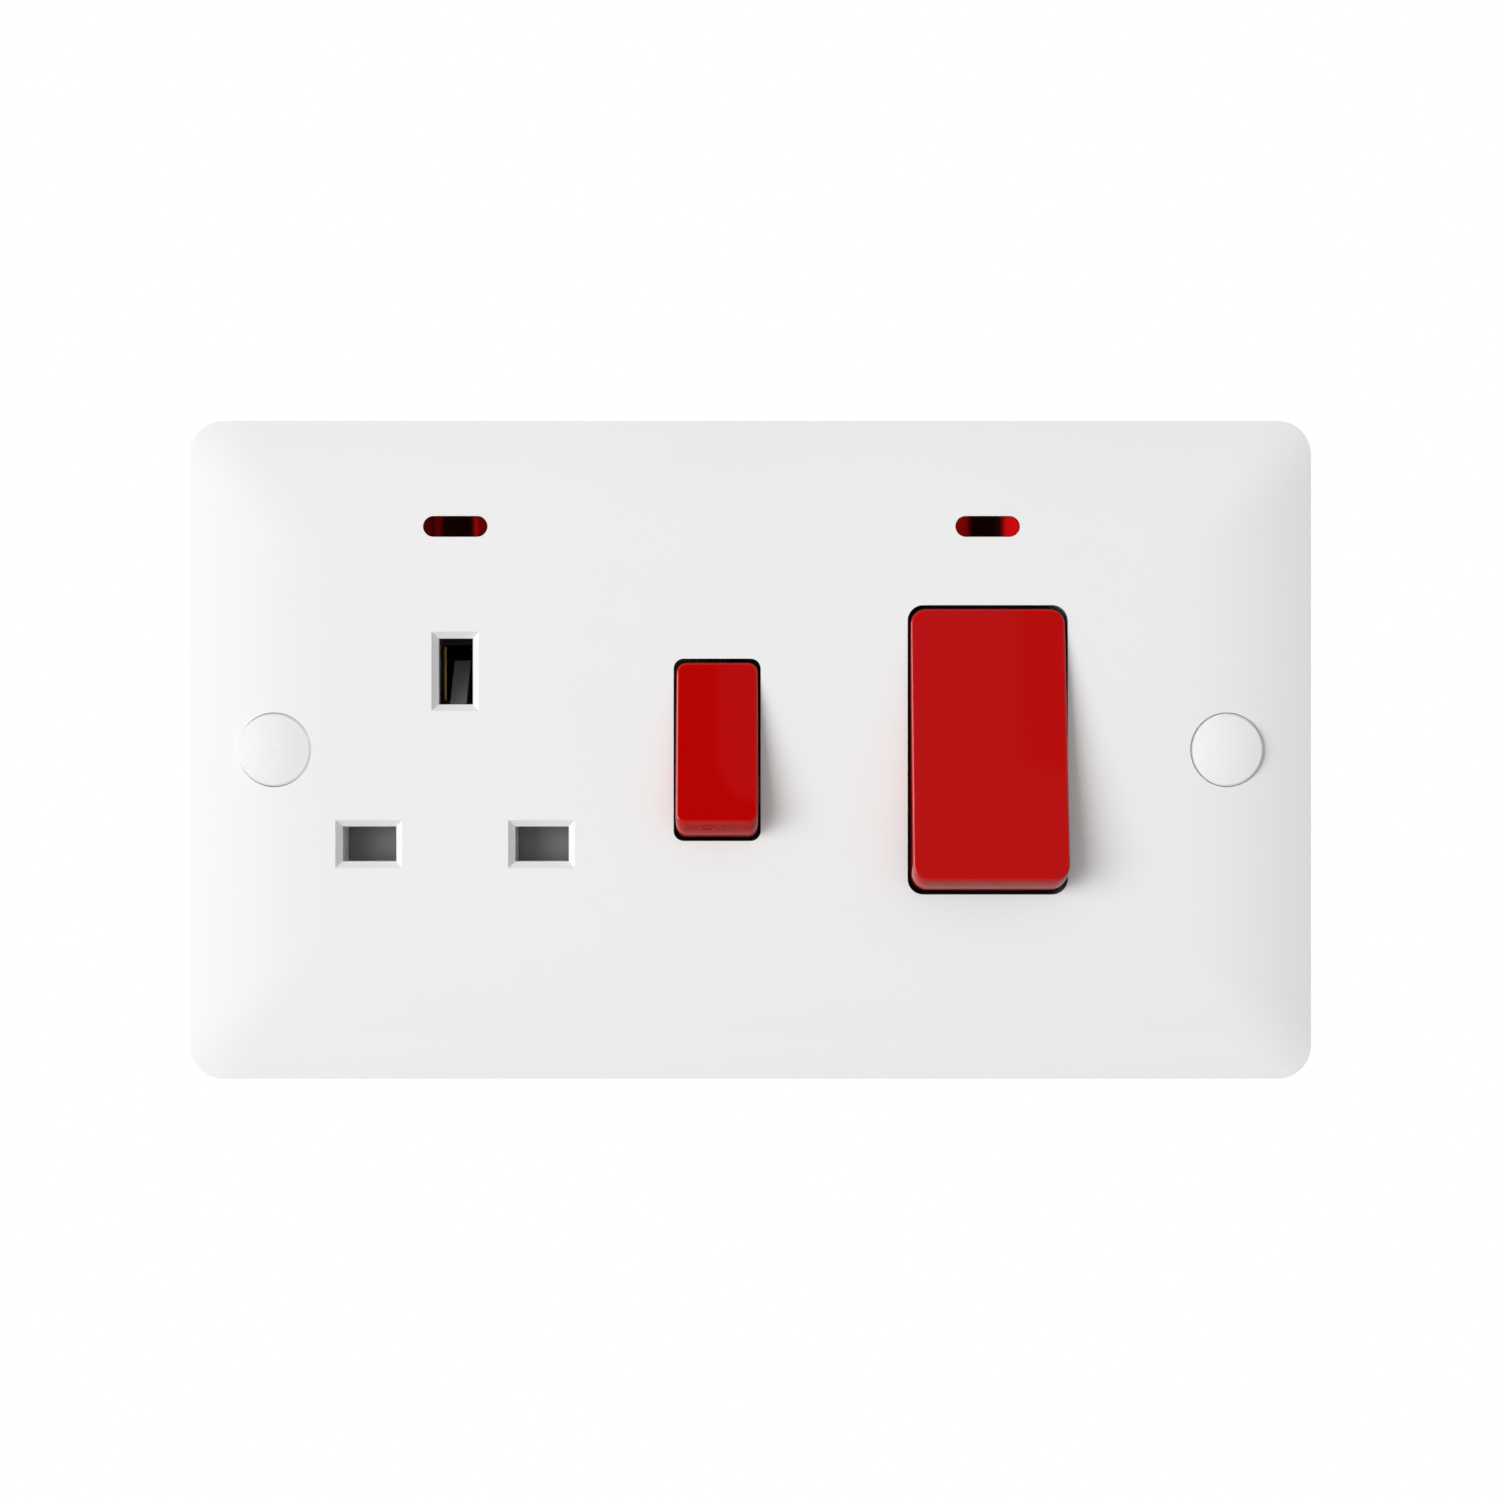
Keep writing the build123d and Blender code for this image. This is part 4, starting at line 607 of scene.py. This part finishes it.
# World: a dim fill for the part; in its gloss the tent, darker round the opening for the camera
FILL_FRONT = 0.73
FILL_SIDE = 0.12
OPENING = 0.16
OPENING_ANGLES = (34, 52)
TO_CAMERA = (0, -1, 0)
world = bpy.data.worlds.new("studio")
scene.world = world
world.use_nodes = True
sky_tree = world.node_tree
sky_tree.nodes.clear()
sky_rays = sky_tree.nodes.new("ShaderNodeLightPath").outputs


def background(strength):
    """A white background shader at a strength, a number or a socket."""
    node = sky_tree.nodes.new("ShaderNodeBackground")
    node.inputs["Color"].default_value = PURE_WHITE
    feed(sky_tree, strength, node.inputs["Strength"])
    return node.outputs["Background"]


def choose(ray, otherwise, seen):
    """One shader for a kind of ray, another for the rest."""
    mix = sky_tree.nodes.new("ShaderNodeMixShader")
    sky_tree.links.new(sky_rays[ray], mix.inputs["Fac"])
    sky_tree.links.new(otherwise, mix.inputs[1])
    sky_tree.links.new(seen, mix.inputs[2])
    return mix.outputs["Shader"]


toward = dot_with(sky_tree, coordinate(sky_tree, "Generated"), TO_CAMERA)
fill = span(sky_tree, toward, 0.0, 1.0, FILL_SIDE, FILL_FRONT)
inner, outer = (cos(radians(angle)) for angle in OPENING_ANGLES)
tent = span(sky_tree, toward, outer, inner, TENT, OPENING, smooth=True)
plain = background(1.0)
sky = choose("Is Glossy Ray", background(fill), background(tent))
sky = choose("Is Transmission Ray", sky, plain)
sky = choose("Is Camera Ray", sky, plain)
sky_out = sky_tree.nodes.new("ShaderNodeOutputWorld")
sky_tree.links.new(sky, sky_out.inputs["Surface"])


# Lights


def soft_light(name, place, width, height, power):
    """A rectangular soft light that faces the part, kept out of the picture and of reflections."""
    data = bpy.data.lights.new(name, "AREA")
    data.shape = "RECTANGLE"
    data.size = width
    data.size_y = height
    data.energy = power
    light = bpy.data.objects.new(name, data)
    scene.collection.objects.link(light)
    light.location = place
    light.rotation_euler = (-Vector(place)).to_track_quat("-Z", "Y").to_euler()
    light.visible_glossy = False
    light.visible_camera = False


soft_light("key left", place=(-2.0, -2.22, 0.06), width=2.2, height=1.6, power=75.2)
soft_light("rear right", place=(1.25, 1.35, 0.8), width=1.0, height=1.0, power=24.0)
soft_light("rear left", place=(-1.25, 1.35, 0.3), width=1.0, height=1.0, power=12.0)


# Cards whose edges show in the gloss of the rockers
CARDS_Y = -0.62
CARD_LAYER = 0.001
FLAG_LEVEL = 0.09
DARK_LEVEL = 0.004
LEFT_LEVEL = 6.0
LEFT_X = -1.0
LEFT_FRONT = -0.68
LEFT_BACK = 0.36
LEFT_HALF = 0.5


def gloss_card(name, corners, level):
    """A flat card that only the part's gloss sees."""
    mesh = bpy.data.meshes.new(name)
    mesh.from_pydata(corners, [], [range(len(corners))])
    card = bpy.data.objects.new(name, mesh)
    scene.collection.objects.link(card)
    mat, tree, surface = bare_material(name)
    glow = tree.nodes.new("ShaderNodeEmission")
    glow.inputs["Strength"].default_value = level
    tree.links.new(glow.outputs["Emission"], surface)
    mesh.materials.append(mat)
    card.visible_camera = False
    card.visible_diffuse = False
    card.visible_transmission = False
    card.visible_shadow = False
    return card


def flag(name, layer, corners, level):
    """A card behind the camera, square to it, with corners in X and Z."""
    gloss_card(name, [(x, CARDS_Y + layer * CARD_LAYER, z) for x, z in corners], level)


flag(
    "flag over cooker switch",
    layer=0,
    corners=((0.0985, 0.33), (0.16, 0.33), (0.16, 0.21), (0.0964, 0.2278)),
    level=FLAG_LEVEL,
)
flag(
    "flag over socket switch",
    layer=-1,
    corners=((-0.06, 0.4), (0.02, 0.4), (0.02, 0.285), (-0.06, 0.285)),
    level=DARK_LEVEL,
)
flag(
    "light card over socket switch",
    layer=1,
    corners=(
        (-0.0126, 0.4), (0.02, 0.4), (0.02, 0.298),
        (-0.0038, 0.3024), (-0.0094, 0.3086), (-0.012, 0.317),
    ),
    level=FLAG_LEVEL,
)

# The card at the left lights the rockers' edges and nothing else
left_corners = [
    (LEFT_X, LEFT_FRONT, -LEFT_HALF),
    (LEFT_X, LEFT_FRONT, LEFT_HALF),
    (LEFT_X, LEFT_BACK, LEFT_HALF),
    (LEFT_X, LEFT_BACK, -LEFT_HALF),
]
left_card = gloss_card("light card left", left_corners, LEFT_LEVEL)
rockers = bpy.data.collections.new("rockers")
for node in ("cooker_rocker", "socket_rocker"):
    rockers.objects.link(nodes[node])
left_card.light_linking.receiver_collection = rockers


# Camera: straight on, a little over a third of a metre from the face, at the photo's scale
FACE = 0.009
DISTANCE = 0.36
SENSOR = 36.0
PHOTO_PIXELS = 1500
PIXELS_PER_METRE = 7775
SHIFT_PIXELS = (-0.6, -0.2)
camera_data = bpy.data.cameras.new("camera")
camera_data.sensor_width = SENSOR
camera_data.lens = PIXELS_PER_METRE * DISTANCE / PHOTO_PIXELS * SENSOR
camera_data.clip_start = 0.01
camera_data.clip_end = 20.0
camera = bpy.data.objects.new("camera", camera_data)
scene.collection.objects.link(camera)
shift_x, shift_z = (pixels / PIXELS_PER_METRE for pixels in SHIFT_PIXELS)
camera.location = (shift_x, -FACE - DISTANCE, shift_z)
camera.rotation_euler = (radians(90), 0, 0)
scene.camera = camera
